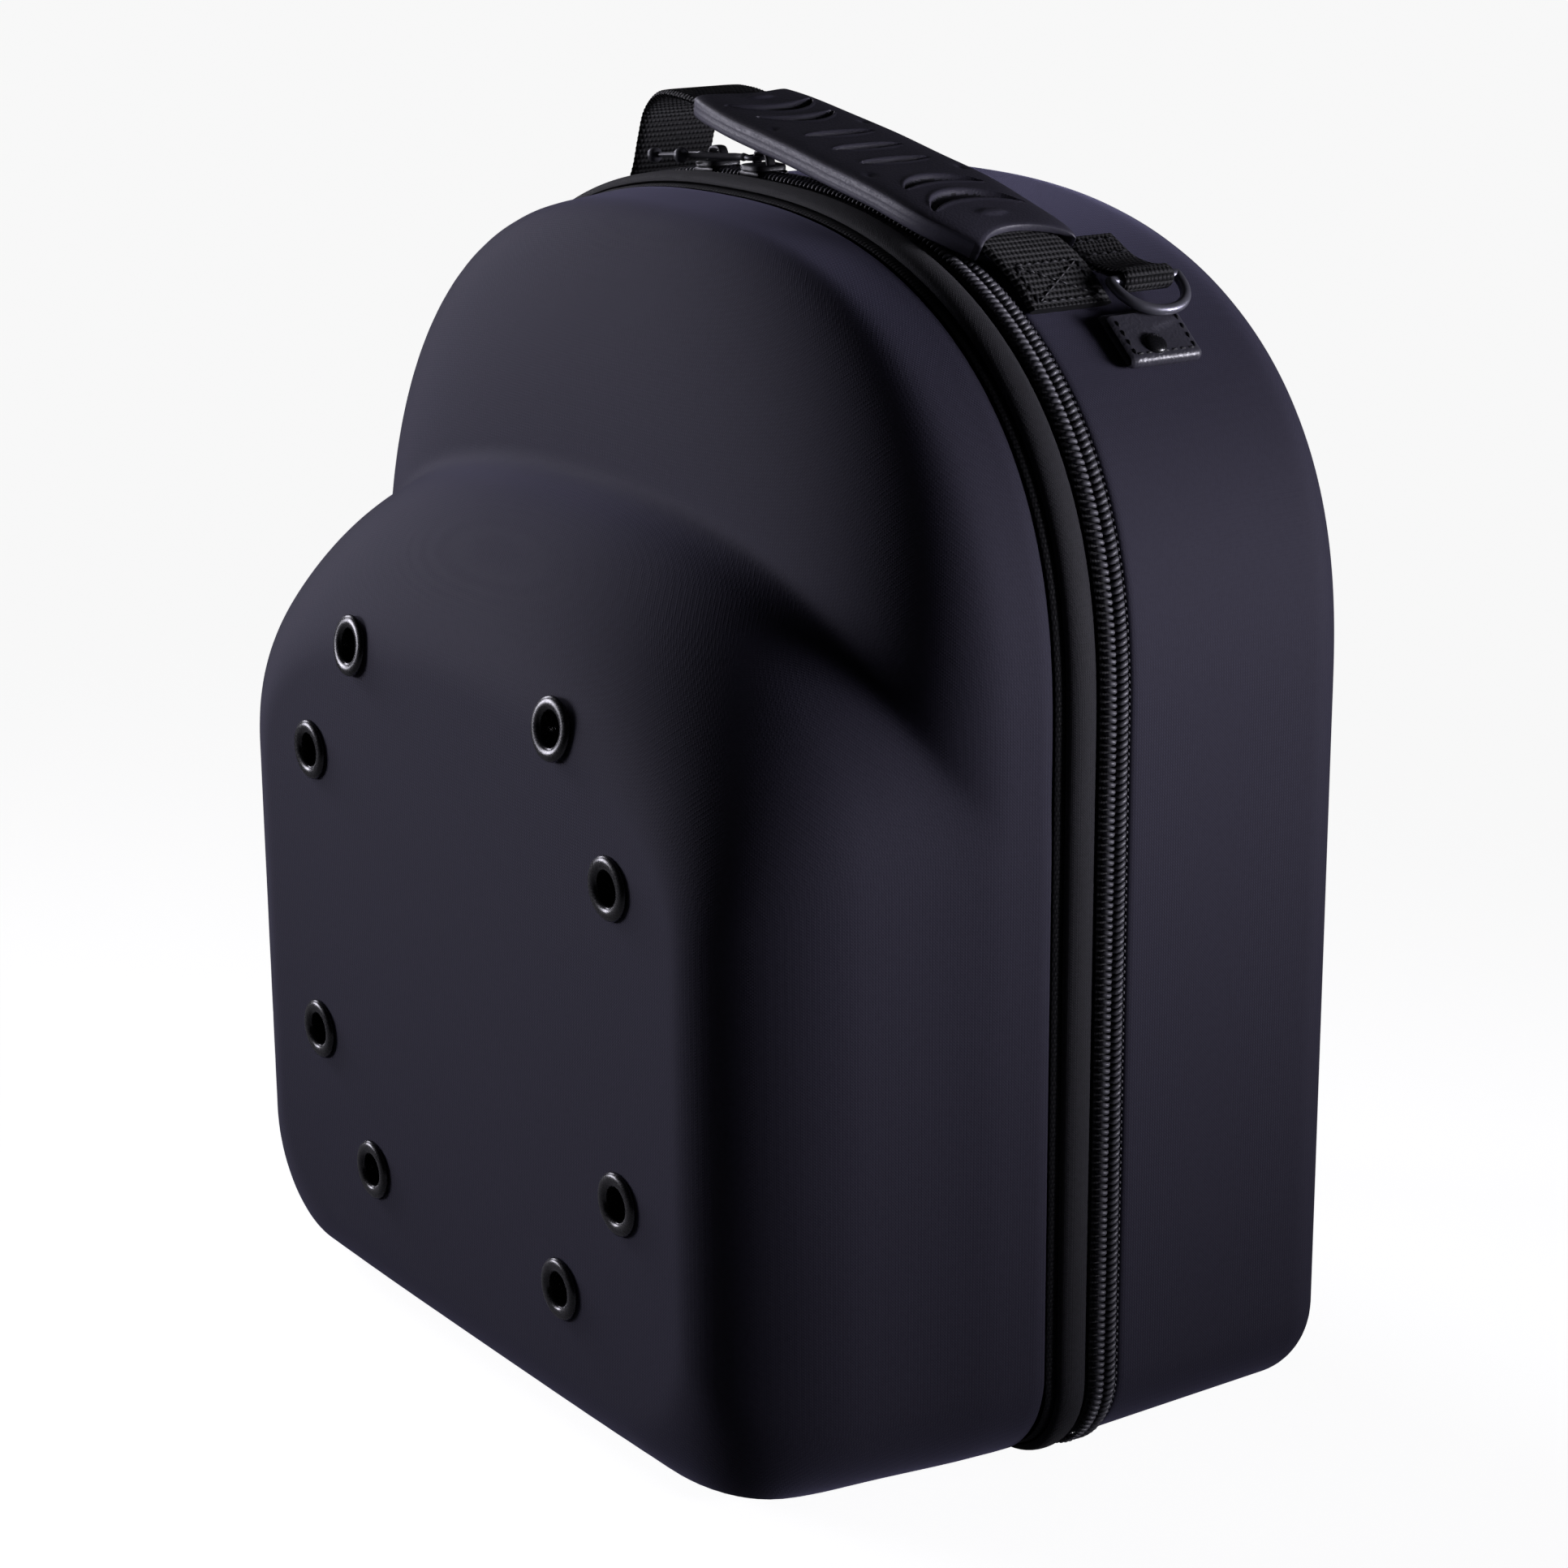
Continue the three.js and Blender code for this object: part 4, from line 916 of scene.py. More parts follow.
def along_zip(section, count=ROUTE_STEPS):
    """Rings of a strip along the zip from a section of y and outward rows."""
    place, out = zip_route(count)
    section = np.asarray(section, float)
    rings = np.zeros((count, len(section), 3))
    rings[:, :, 0] = place[:, :1] + out[:, :1] * section[:, 1]
    rings[:, :, 1] = section[:, 0]
    rings[:, :, 2] = place[:, 1:] + out[:, 1:] * section[:, 1]
    return rings


def rolled_section(middle, half, power, count):
    """A superellipse section at even steps, starting at its inner side."""
    turn = np.linspace(0, 2 * np.pi, 400, endpoint=False) - np.pi / 2
    cos, sin = np.cos(turn), np.sin(turn)
    across = half[0] * np.sign(cos) * np.abs(cos) ** (2 / power)
    rise = half[1] * np.sign(sin) * np.abs(sin) ** (2 / power)
    return evenly(np.column_stack([across, rise]), count, closed=True) + middle


BINDING = {"middle": (-8.5, -1.5), "half": (3.9, 2.1), "power": 2.1, "back": 0.24}
TAPE = {"middle": (-4.45, -2.65), "half": (9.98, 0.55), "power": 8}
STRIP_SIDES = 40
roll = rolled_section((0, 0), BINDING["half"], BINDING["power"], STRIP_SIDES)
roll[:, 1] *= np.where(roll[:, 1] < 0, BINDING["back"], 1)
blank = Blank()
blank.skin(along_zip(roll + BINDING["middle"]))
blank.piece("front_binding", [binding_cloth], "binding")
blank = Blank()
blank.skin(along_zip(rolled_section(TAPE["middle"], TAPE["half"], TAPE["power"], STRIP_SIDES)))
blank.piece("zip_tape", [tape_cloth], "zip_tape")

# %% Coil turns of the zip
PITCH = 1.6
REAR_SHIFT = 0.25 * PITCH
FRONT_ROW = {"outer": -2.9, "inner": 0.05, "slant": 0.8}
REAR_ROW = {"outer": 3.4, "inner": 0.3, "slant": 1.0}
TURN_ARCH = {"low": -1.25, "rise": 1.75, "power": 0.4, "from": 0.1, "span": 0.76}
TURN_WIDE, TURN_TALL = 0.62, 0.55
TURN_TAPER = np.array([0.35, 0.85, 1, 1, 1, 1, 0.85, 0.35])
SEWN_LOOP = {"from": 3.35, "to": 4.35, "low": -0.85, "rise": 0.7, "wide": 0.42, "tall": 0.3}
SEWN_TAPER = np.array([0.3, 0.9, 1, 0.9, 0.3])
COIL_BED = {"middle": (0.4, -1.15), "half": (3.9, 0.42), "power": 6, "sides": 20}
ROUTE_DENSE = 4000


def coil_frames(offset):
    """A frame at each turn of the coil: place in the parting plane, outward and forward directions."""
    dense, out = zip_route(ROUTE_DENSE)
    length = run_length(dense)
    at = np.arange(PITCH + offset, length[-1] - PITCH, PITCH)
    place = np.stack([np.interp(at, length, dense[:, k]) for k in (0, 1)], 1)
    away = unit(np.stack([np.interp(at, length, out[:, k]) for k in (0, 1)], 1))
    place = np.column_stack([place[:, 0], np.zeros(len(at)), place[:, 1]])
    away = np.column_stack([away[:, 0], np.zeros(len(at)), away[:, 1]])
    ahead = np.column_stack([-away[:, 2], np.zeros(len(at)), away[:, 0]])
    return place, away, ahead


def coil_row(blank, row, offset):
    """One row of turns: each leaves the tape, arches over and dives in at the middle, slanting as it goes."""
    place, away, ahead = coil_frames(offset)
    share = np.linspace(0, 1, len(TURN_TAPER))
    y = row["outer"] + (row["inner"] - row["outer"]) * share
    arch = np.sin(np.pi * np.clip(TURN_ARCH["from"] + TURN_ARCH["span"] * share, 0, 1))
    rise = TURN_ARCH["low"] + TURN_ARCH["rise"] * arch ** TURN_ARCH["power"]
    slip = row["slant"] * (1 - share)
    lines = place[:, None] + away[:, None] * rise[:, None] + ahead[:, None] * slip[:, None]
    lines[:, :, 1] += y
    blank.threads(lines, away[:, None], TURN_WIDE * TURN_TAPER, TURN_TALL * TURN_TAPER)
    return len(place)


blank = Blank()
blank.skin(along_zip(rolled_section(*COIL_BED.values())), finish=1)
turns = coil_row(blank, FRONT_ROW, 0.0) + coil_row(blank, REAR_ROW, REAR_SHIFT)
place, away, ahead = coil_frames(REAR_SHIFT + REAR_ROW["slant"])
share = np.linspace(0, 1, len(SEWN_TAPER))
rise = SEWN_LOOP["low"] + SEWN_LOOP["rise"] * np.sin(np.pi * share)
lines = place[:, None] + away[:, None] * rise[:, None]
lines[:, :, 1] += SEWN_LOOP["from"] + (SEWN_LOOP["to"] - SEWN_LOOP["from"]) * share
blank.threads(lines, away[:, None], SEWN_LOOP["wide"] * SEWN_TAPER, SEWN_LOOP["tall"], sides=5)
blank.piece("zip_chain", [coil_nylon, tape_cloth], "zip_coil", crease=70)
print("coil turns:", turns)

# %% [markdown]
# ## The bottom hinge
# Under the case a strip of the same woven tape joins the two shells and bends when the case is opened. It
# is a flat strip with rounded edges and a row of stitches along each side.

# %% Bottom hinge with its stitches
HINGE_HALF, HINGE_THICK = 100.5, 1.2
HINGE_FRONT, HINGE_REAR = -14.2, 5.5
HINGE_ROWS = {"from_edge": 2.2, "from_end": 2.0, "under": 0.25, "under_thick": 0.2}
STITCH_TAPER = np.array([0.4, 0.9, 1, 0.9, 0.4])
STITCH_BOW, STITCH_SINK = 0.8, 0.1


def stitches(blank, start, end, up, length=2.6, gap=1.0, thick=0.32):
    """A straight row of stitches from start to end, each sunk into the cloth at both ends."""
    start, end, up = (np.asarray(v, float) for v in (start, end, up))
    reach = np.linalg.norm(end - start)
    count = max(int(round(reach / (length + gap))), 1)
    along = (end - start) / reach
    middles = start + np.outer((np.arange(count) + 0.5) / count * reach, along)
    share = np.linspace(-1, 1, len(STITCH_TAPER))
    bow = thick * STITCH_BOW * (1 - share**2) - STITCH_SINK
    lines = middles[:, None] + along * (share * length / 2)[:, None] + up * bow[:, None]
    blank.threads(lines, unit(up), thick * STITCH_TAPER, thick * STITCH_TAPER, finish=1)


blank = Blank()
middle = ((HINGE_FRONT + HINGE_REAR) / 2, HINGE_THICK / 2)
half = ((HINGE_REAR - HINGE_FRONT) / 2, HINGE_THICK / 2)
section = rolled_section(middle, half, 8, 36)
stations = np.linspace(-HINGE_HALF, HINGE_HALF, 60)
blank.skin([np.column_stack([np.full(len(section), x), section]) for x in stations])
reach, low = HINGE_HALF - HINGE_ROWS["from_end"], HINGE_ROWS["under"]
for y in (HINGE_FRONT + HINGE_ROWS["from_edge"], HINGE_REAR - HINGE_ROWS["from_edge"]):
    stitches(blank, (-reach, y, HINGE_THICK), (reach, y, HINGE_THICK), (0, 0, 1))
    stitches(blank, (-reach, y, low), (reach, y, low), (0, 0, -1), thick=HINGE_ROWS["under_thick"])
blank.piece("bottom_hinge", [tape_cloth, sewing_thread], "zip_tape")

# %% [markdown]
# ## The handle
# A flat strap of ribbed webbing rises steeply from the left shoulder, bends over and runs down to the right
# one through a rubber grip. The strap is a sweep along a smooth curve through a few places, with real
# ribs across it. The grip is a sleeve with the same curve: its section is a rounded oblong, its ends are
# scooped between two horns, and its top is moulded with grooves, so the surface is pushed in by a rule.

# %% The handle's line
HANDLE_LINE = [
    (-87.5, 18, 258.9), (-82, 18, 262.3), (-77.5, 18, 266.5), (-71.8, 17.6, 274.5), (-68, 17, 282.5),
    (-63.5, 16, 289.6), (-55, 14.2, 294.2), (-43, 12.2, 295.2), (-28, 10.6, 293.8), (-7, 9.8, 290.4),
    (14, 9.6, 287), (30, 9.6, 283.9), (48, 9.8, 280.4), (63, 10.6, 276.2), (75, 14.6, 271),
    (82, 17.4, 264.8), (88, 18, 258.7),
]
WEBBING_WIDTH, WEBBING_THICK = 23.0, 2.0
RIB = 1.5
HANDLE_STEPS = 900


def smooth_line(points, per_span=60):
    """A centripetal Catmull-Rom curve through the points."""
    points = np.asarray(points, float)
    padded = np.vstack([2 * points[0] - points[1], points, 2 * points[-1] - points[-2]])
    share = np.linspace(0, 1, per_span, endpoint=False)[:, None]
    spans = []
    for p0, p1, p2, p3 in zip(padded, padded[1:], padded[2:], padded[3:]):
        d0, d1, d2 = (math.sqrt(np.linalg.norm(b - a)) for a, b in ((p0, p1), (p1, p2), (p2, p3)))
        leave = ((p1 - p0) / d0 - (p2 - p0) / (d0 + d1) + (p2 - p1) / d1) * d1
        meet = ((p2 - p1) / d1 - (p3 - p1) / (d1 + d2) + (p3 - p2) / d2) * d1
        square = -3 * p1 + 3 * p2 - 2 * leave - meet
        cube = 2 * p1 - 2 * p2 + leave + meet
        spans.append(p1 + leave * share + square * share**2 + cube * share**3)
    return np.vstack([*spans, points[-1:]])


def strap_frame(line):
    """Upward directions of a strap that lies across Y."""
    along = np.gradient(line, axis=0)
    return unit(np.column_stack([-along[:, 2], np.zeros(len(line)), along[:, 0]]))


handle_line = evenly(smooth_line(HANDLE_LINE), HANDLE_STEPS)
handle_up = strap_frame(handle_line)
handle_run = run_length(handle_line)
print("handle strap is", round(handle_run[-1]), "mm long")

# %% The handle's webbing
BOX_STITCH = {"from": 1.5, "to": 12.0, "half": 8.5, "lift": 1.05}
SMALL_STITCH = {"length": 1.9, "gap": 0.7, "thick": 0.3}
HANDLE_RIB, RIB_ROOM = 0.22, 0.1


def ribbed(section, line, height):
    """How high each point of a strap's section stands along a line, with one rounded rib in each RIB."""
    swell = height * (np.abs(np.sin(np.pi * run_length(line) / RIB)) - 0.5)
    return section[None, :, 1] + np.sign(section[None, :, 1]) * swell[:, None]


def box_corners(ends):
    """The four corners of a stitched box, in two rows, from how far along the strap the rows lie."""
    rows = []
    for far in ends:
        k = int(np.argmin(np.abs(handle_run - far)))
        place = handle_line[k] + handle_up[k] * BOX_STITCH["lift"]
        rows.append([place + (0, side * BOX_STITCH["half"], 0) for side in (-1, 1)])
    return rows


blank = Blank()
section = rolled_section((0, 0), (WEBBING_WIDTH / 2, WEBBING_THICK / 2 - RIB_ROOM), 7, 32)
rings = handle_line[:, None] + handle_up[:, None] * ribbed(section, handle_line, HANDLE_RIB)[..., None]
rings[:, :, 1] += section[None, :, 0]
blank.skin(rings)
near = (BOX_STITCH["from"], BOX_STITCH["to"])
for ends, lift in ((near, handle_up[0]), ([handle_run[-1] - far for far in near], handle_up[-1])):
    (a, b), (c, d) = box_corners(ends)
    for start, stop in ((a, b), (c, d), (a, c), (b, d), (a, d), (b, c)):
        stitches(blank, start, stop, lift, **SMALL_STITCH)
blank.piece("handle_webbing", [ribbed_webbing, sewing_thread], "webbing")

# %% The grip's moulded relief
GRIP = {"left": -26.0, "right": 72.0, "half_width": 16.8, "end_half": 13.6, "half_thick": 3.3, "horn": 6.0}
GRIP_POWER, SLOT_POWER, PLAN_POWER = 5, 14, 5
SLOT_ROOM = 0.6
GROOVE_DEPTH, GROOVE_FLOOR, GROOVE_OPENING = 1.3, 0.5, 0.8
LIP = {"height": 0.2, "at": 1.25, "half": 0.28}
CRESCENTS = [(25.0, 11.0, 2.3), (35.0, 12.5, 2.6)]
CRESCENT_RADIUS = 15.5
BARS = [-11.0, 0.0, 11.0]
BAR_HALF, BAR_WIDTH = 9.5, 1.9
NICKS = [(-19.0, 12.8), (19.0, 12.8)]
NICK_SIZE, NICK_DEPTH = (1.6, 1.1), 0.5
NUB_AT, NUB_SIZE, NUB_HEIGHT = 45.0, (1.5, 3.4), 0.5


def furrow(distance, half):
    """A flat-bottomed furrow with a slight lip, as a height, for a distance from its middle line."""
    half = np.maximum(half, 1e-6)
    share = np.abs(distance) / half
    wall = np.clip((share - GROOVE_FLOOR) / (1 - GROOVE_FLOOR), 0, 1)
    dip = 0.5 * (1 + np.cos(np.pi * wall))
    lip = np.exp(-(((share - LIP["at"]) / LIP["half"]) ** 2))
    open_here = np.clip(half / GROOVE_OPENING, 0, 1)
    return (-GROOVE_DEPTH * dip + LIP["height"] * lip) * open_here


def grip_relief(along, across):
    """Height of the grip's top at a distance along from its middle and across from its centre line."""
    height = np.zeros_like(along)
    for place in BARS:
        half = BAR_WIDTH * np.sqrt(np.maximum(1 - (across / BAR_HALF) ** 2, 0))
        height += furrow(along - place, half)
    for side in (1, -1):
        for place, reach, width in CRESCENTS:
            bow = CRESCENT_RADIUS - np.sqrt(np.maximum(CRESCENT_RADIUS**2 - across**2, 0))
            half = width * np.sqrt(np.maximum(1 - (across / reach) ** 2, 0))
            height += furrow(side * along - place - bow, half)
        nub = ((side * along - NUB_AT) / NUB_SIZE[0]) ** 2 + (across / NUB_SIZE[1]) ** 2
        height += NUB_HEIGHT * np.exp(-(nub**2))
    for place, away in NICKS:
        nick = ((along - place) / NICK_SIZE[0]) ** 2 + ((np.abs(across) - away) / NICK_SIZE[1]) ** 2
        height -= NICK_DEPTH * np.exp(-nick)
    return height


middle_relief = grip_relief(np.zeros(1), np.zeros(1))[0]
print("relief at the grip's middle:", round(float(middle_relief), 2), "mm")

# %% The grip's sleeve
GRIP_STATIONS, GRIP_ROUND = 300, 168
GRIP_END = {"length": 0.9, "thin": 0.45, "narrow": 0.5}
RELIEF_FROM, RELIEF_OVER = 0.7, 0.25
SIDE_LINES = {"at": (-1.1, 0.0, 1.1), "half": 0.22, "depth": 0.2, "from": 0.93, "over": 0.05}


def on_handle(x, across, up):
    """Points at an x along the handle's line, moved across the strap and up from it."""
    place = np.stack([np.interp(x, handle_line[:, 0], handle_line[:, k]) for k in range(3)], -1)
    lift = unit(np.stack([np.interp(x, handle_line[:, 0], handle_up[:, k]) for k in range(3)], -1))
    place = place + lift * up[..., None]
    place[..., 1] += across
    return place


def grip_rings(half, power, stations, outside):
    """Rings of the sleeve's outside or slot, its ends scooped between two horns."""
    section = rolled_section((0, 0), half, power, GRIP_ROUND)
    across, up = (np.broadcast_to(section[:, k], (len(stations), GRIP_ROUND)) for k in (0, 1))
    if outside:
        narrow = 1 - GRIP["end_half"] / GRIP["half_width"]
        across = across * (1 - narrow * np.abs(2 * stations - 1) ** PLAN_POWER)[:, None]
    horn = GRIP["horn"] * (across / GRIP["half_width"]) ** 2
    left, right = GRIP["left"] - horn, GRIP["right"] + horn
    x = left + (right - left) * stations[:, None]
    raised = np.zeros_like(x)
    if outside:
        run = np.interp(x, handle_line[:, 0], handle_run)
        middle = np.interp((GRIP["left"] + GRIP["right"]) / 2, handle_line[:, 0], handle_run)
        top = np.clip((up / half[1] - RELIEF_FROM) / RELIEF_OVER, 0, 1)
        raised = grip_relief(run - middle, across) * top
        face = np.clip((np.abs(section[:, 0]) / half[0] - SIDE_LINES["from"]) / SIDE_LINES["over"], 0, 1)
        lines = sum(np.exp(-(((up - line) / SIDE_LINES["half"]) ** 2)) for line in SIDE_LINES["at"])
        end = np.minimum(stations, 1 - stations)[:, None] * (GRIP["right"] - GRIP["left"])
        turn = np.clip(1 - end / GRIP_END["length"], 0, 1)
        shrink = GRIP_END["length"] * (1 - np.sqrt(1 - turn**2))
        up = up * (1 - shrink / half[1] * GRIP_END["thin"]) + raised
        inward = np.sign(across) * SIDE_LINES["depth"] * lines * face
        across = across * (1 - shrink / half[0] * GRIP_END["narrow"]) - inward
    return on_handle(x, across, up), raised


CLOSE_START, CLOSE_END, CLOSE_COUNT = 0.009, 0.991, 7
near_start = np.linspace(0, CLOSE_START, CLOSE_COUNT)[:-1]
between = np.linspace(CLOSE_START, CLOSE_END, GRIP_STATIONS - 2 * len(near_start))
stations = np.concatenate([near_start, between, np.linspace(CLOSE_END, 1, CLOSE_COUNT)[1:]])
grip_half = (GRIP["half_width"], GRIP["half_thick"])
sleeve, raised = grip_rings(grip_half, GRIP_POWER, stations, True)
slot_half = (WEBBING_WIDTH / 2 + SLOT_ROOM, WEBBING_THICK / 2 + SLOT_ROOM)
slot = grip_rings(slot_half, SLOT_POWER, np.linspace(1, 0, 40), False)[0]
print("grip rings:", len(sleeve), "outside and", len(slot), "in the slot")

# %% The grip, with painted light on its sides and painted shade in its grooves
PAINTED_LIGHT_RUN, PAINTED_LIGHT_SIDE = (0.01, 0.985), 0.955
PAINTED_SHADE_DEPTH = 0.5 * GROOVE_DEPTH
blank = Blank()
blank.skin(np.concatenate([sleeve, slot]), loop=True)
section = rolled_section((0, 0), grip_half, GRIP_POWER, GRIP_ROUND)
# Side faces along most of the grip take the paler copy of the rubber: painted light.
painted_light_faces = np.abs(section[:, 0]) > PAINTED_LIGHT_SIDE * GRIP["half_width"]
painted_light_faces = painted_light_faces & np.roll(painted_light_faces, -1)
painted_light_run = (stations[:-1] > PAINTED_LIGHT_RUN[0]) & (stations[:-1] < PAINTED_LIGHT_RUN[1])
# Faces sunk deeper than half a groove take the darker copy of the rubber: painted shade.
sunk = raised < -PAINTED_SHADE_DEPTH
finishes = np.zeros((len(sleeve) + len(slot), GRIP_ROUND), int)
finishes[: len(sleeve) - 1] = painted_light_faces & painted_light_run[:, None]
finishes[: len(sleeve) - 1][sunk[:-1] & sunk[1:]] = 2
blank.finishes = finishes.ravel().tolist()
blank.piece("handle_grip", [grip_rubber, grip_painted_light, grip_painted_shade], "grip_rubber", crease=60)

# %% [markdown]
# ## D-rings and their loops
# On each shoulder a D-ring of dark wire hangs in a short webbing loop, for a shoulder strap. The ring is a
# round tube on a D-shaped route. The loop is one strap that runs down the shell, round the ring's bar and
# back on top of itself. Both are drawn for the right shoulder, in terms of downhill and outward from a
# seat on the shell, and mirrored for the left. The rings ride on bodies of their own, because they swing.

# %% Seats on the shoulder
RING_Y, RING_BAR_X, RING_LIFT = 38.0, 85.5, 5.6
RING = {"inner": 16.5, "reach": 9.0, "wire": 1.25, "droop": 3.0, "squareness": 0.8}
RING_STEPS, WIRE_SIDES = 110, 18
ACROSS = np.array([0.0, 1.0, 0.0])


def shoulder(x, y):
    """Place, outward and downhill directions on the rear shell's right shoulder."""
    def height(at):
        return float(arch_height(at, HALF_WIDTH - REAR_INSET, HEIGHT - REAR_INSET, SPRING))

    down = unit(np.array([1.0, 0.0, height(x + 0.5) - height(x - 0.5)]))
    return np.array([x, y, height(x)]), np.array([-down[2], 0.0, down[0]]), down


def on_seat(seat, rows):
    """Points from rows of downhill, outward and across."""
    place, out, down = seat
    rows = np.asarray(rows, float)
    return place + rows[..., :1] * down + rows[..., 1:2] * out + rows[..., 2:3] * ACROSS


def both_sides(make, name, materials, slot, bodies=("case", "case")):
    """The right piece and its mirror image on the left."""
    for side, body, flip in (("right", bodies[0], 1), ("left", bodies[1], -1)):
        blank = make()
        blank.points = [points * (flip, 1, 1) for points in blank.points]
        blank.piece(f"{name}_{side}", materials, slot, body=body, crease=50)


ring_seat = shoulder(RING_BAR_X, RING_Y)
ring_bar = ring_seat[0] + ring_seat[1] * RING_LIFT
print("right ring's bar is at", np.round(ring_bar, 2))

# %% D-rings
def d_ring():
    droop = math.sin(math.radians(RING["droop"]))
    lie = unit(ring_seat[2] - ring_seat[1] * droop)
    face = np.array([-lie[2], 0.0, lie[0]])
    half = RING["inner"] / 2 + RING["wire"]
    reach = RING["reach"] + RING["wire"]
    turn = np.linspace(0, np.pi, 120)
    bow = np.column_stack([half * np.cos(turn), reach * np.sin(turn) ** RING["squareness"]])
    straight = np.linspace(-half, half, 40)[1:-1]
    bar = np.column_stack([straight, np.zeros(len(straight))])
    route = evenly(np.vstack([bow, bar]), RING_STEPS, closed=True)
    ahead = np.roll(route, -1, 0) - np.roll(route, 1, 0)
    aside = unit(np.column_stack([ahead[:, 1], -ahead[:, 0]]))
    turn = 2 * np.pi * np.arange(WIRE_SIDES) / WIRE_SIDES
    spread = RING["wire"] * np.cos(turn)
    away = route[:, 1:] + aside[:, 1:] * spread
    rings = ring_bar + away[..., None] * lie + (RING["wire"] * np.sin(turn))[:, None] * face
    rings[..., 1] += route[:, :1] + aside[:, :1] * spread
    blank = Blank()
    blank.skin(rings, loop=True)
    return blank


both_sides(d_ring, "d_ring", [dark_steel], "dark_steel", ("ring_right", "ring_left"))

# %% Webbing loops round the rings' bars
LOOP = {"width": 14.0, "strap": 2.2, "eye_gap": 0.5, "length": 20.0, "sewn": 0.55, "end_drop": 1.0}
CROOK = {"back": 2.5, "drop": 1.8}
LOOP_RIB, LOOP_RIB_ROOM, LAYER_ROOM = 0.1, 0.06, 0.05
LOOP_ROWS = {"sewn": 1.5, "end": 2.0, "half": 5.6, "lift": 0.1, "end_drop": 0.8}
LOOP_STITCH = {"length": 1.8, "gap": 0.7, "thick": 0.3}
GAP = 0.3


def swept(path, section, rise=None):
    """Rows of along, up and across for a strip on a path of along and up; rise may vary on the way."""
    rise = section[:, 1] if rise is None else rise
    ahead = np.gradient(path, axis=0)
    aside = unit(np.column_stack([-ahead[:, 1], ahead[:, 0]]))
    rows = np.zeros((len(path), len(section), 3))
    rows[..., 0] = path[:, :1] + aside[:, :1] * rise
    rows[..., 1] = path[:, 1:] + aside[:, 1:] * rise
    rows[..., 2] = section[:, 0]
    return rows


def ring_loop():
    layer = LOOP["strap"] / 2
    eye = RING["wire"] + LOOP["eye_gap"] + layer / 2
    crook = -(RING["wire"] + LOOP["eye_gap"] + layer) - CROOK["back"]
    crook_lift = RING_LIFT - layer - CROOK["drop"]
    sewn = -LOOP["length"] * LOOP["sewn"]
    low = [(-LOOP["length"], GAP - LOOP["end_drop"]), (sewn, GAP), (crook, crook_lift)]
    turn = np.radians(np.linspace(-150, 150, 21))
    round_bar = np.column_stack([eye * np.cos(turn), RING_LIFT + eye * np.sin(turn)])
    under = [(a, b + 0.5 * layer) for a, b in low]
    over = [(a, b + 1.5 * layer + LAYER_ROOM) for a, b in low[::-1]]
    path = evenly(smooth_line(np.vstack([under, round_bar, over]), 14), 260)
    section = rolled_section((0, 0), (LOOP["width"] / 2, layer / 2 - LOOP_RIB_ROOM), 6, 28)
    blank = Blank()
    blank.skin(on_seat(ring_seat, swept(path, section, ribbed(section, path, LOOP_RIB))))
    top, half = GAP + LOOP["strap"] + LOOP_ROWS["lift"], LOOP_ROWS["half"]
    upper = -LOOP["length"] + LOOP_ROWS["end"]
    for a, lift in ((sewn - LOOP_ROWS["sewn"], top), (upper, top - LOOP_ROWS["end_drop"])):
        ends = on_seat(ring_seat, [(a, lift, -half), (a, lift, half)])
        stitches(blank, ends[0], ends[1], ring_seat[1], **LOOP_STITCH)
    return blank


both_sides(ring_loop, "ring_loop", [ribbed_webbing, sewing_thread], "webbing")

# %% [markdown]
# ## Leather tabs and rivets
# Below each ring lies a small strip of coated leather, folded on itself so that its lower edge is a shiny
# roll, stitched along its sides and held by a domed rivet. It is the same kind of sweep as the loop, along
# a path that runs down, turns in a tight half circle and comes back.

# %% Tabs
TAB = {
    "y": 33.0, "width": 20.0, "from": 90.5, "to": 102.0,
    "layer": 1.4, "fold": 0.6, "lift": 0.1, "step": 2.0,
}
TAB_ROWS = {"from_side": 1.6, "from_step": 1.0, "from_bend": 0.4}
TAB_STITCH = {"length": 1.7, "gap": 0.7, "thick": 0.26}
tab_seat = shoulder((TAB["from"] + TAB["to"]) / 2, TAB["y"])
tab_half = (TAB["to"] - TAB["from"]) / (2 * tab_seat[2][0])
TAB_TOP = TAB["lift"] + 2 * TAB["layer"] + TAB["fold"]


def ring_tab():
    layer, fold = TAB["layer"], TAB["fold"]
    radius = (layer + fold) / 2
    bend = tab_half - layer - fold / 2
    low = TAB["lift"] + layer / 2
    turn = np.linspace(-np.pi / 2, np.pi / 2, 24)
    high, start = low + 2 * radius, -tab_half + TAB["step"]
    rolled = np.column_stack([bend + radius * np.cos(turn), low + radius + radius * np.sin(turn)])
    down, back = [(-tab_half, low), (bend - 0.5, low)], [(bend - 0.5, high), (start, high)]
    path = evenly(np.vstack([down, rolled, back]), 150)
    blank = Blank()
    blank.skin(on_seat(tab_seat, swept(path, rolled_section((0, 0), (TAB["width"] / 2, layer / 2), 5, 40))))
    side, seam = TAB["width"] / 2 - TAB_ROWS["from_side"], bend - TAB_ROWS["from_bend"]
    rows = [((start + TAB_ROWS["from_step"], across), (bend, across)) for across in (-side, side)]
    for ends in [*rows, ((seam, -side), (seam, side))]:
        ends = on_seat(tab_seat, [(along, TAB_TOP, across) for along, across in ends])
        stitches(blank, ends[0], ends[1], tab_seat[1], **TAB_STITCH)
    return blank


both_sides(ring_tab, "ring_tab", [coated_leather, sewing_thread], "tab")

# %% Rivets
RIVET = {"x": 98.8, "y": 31.0, "head": 2.8, "dome": 1.1, "brim": 0.25, "shank": 1.4, "tip_lift": 0.6}


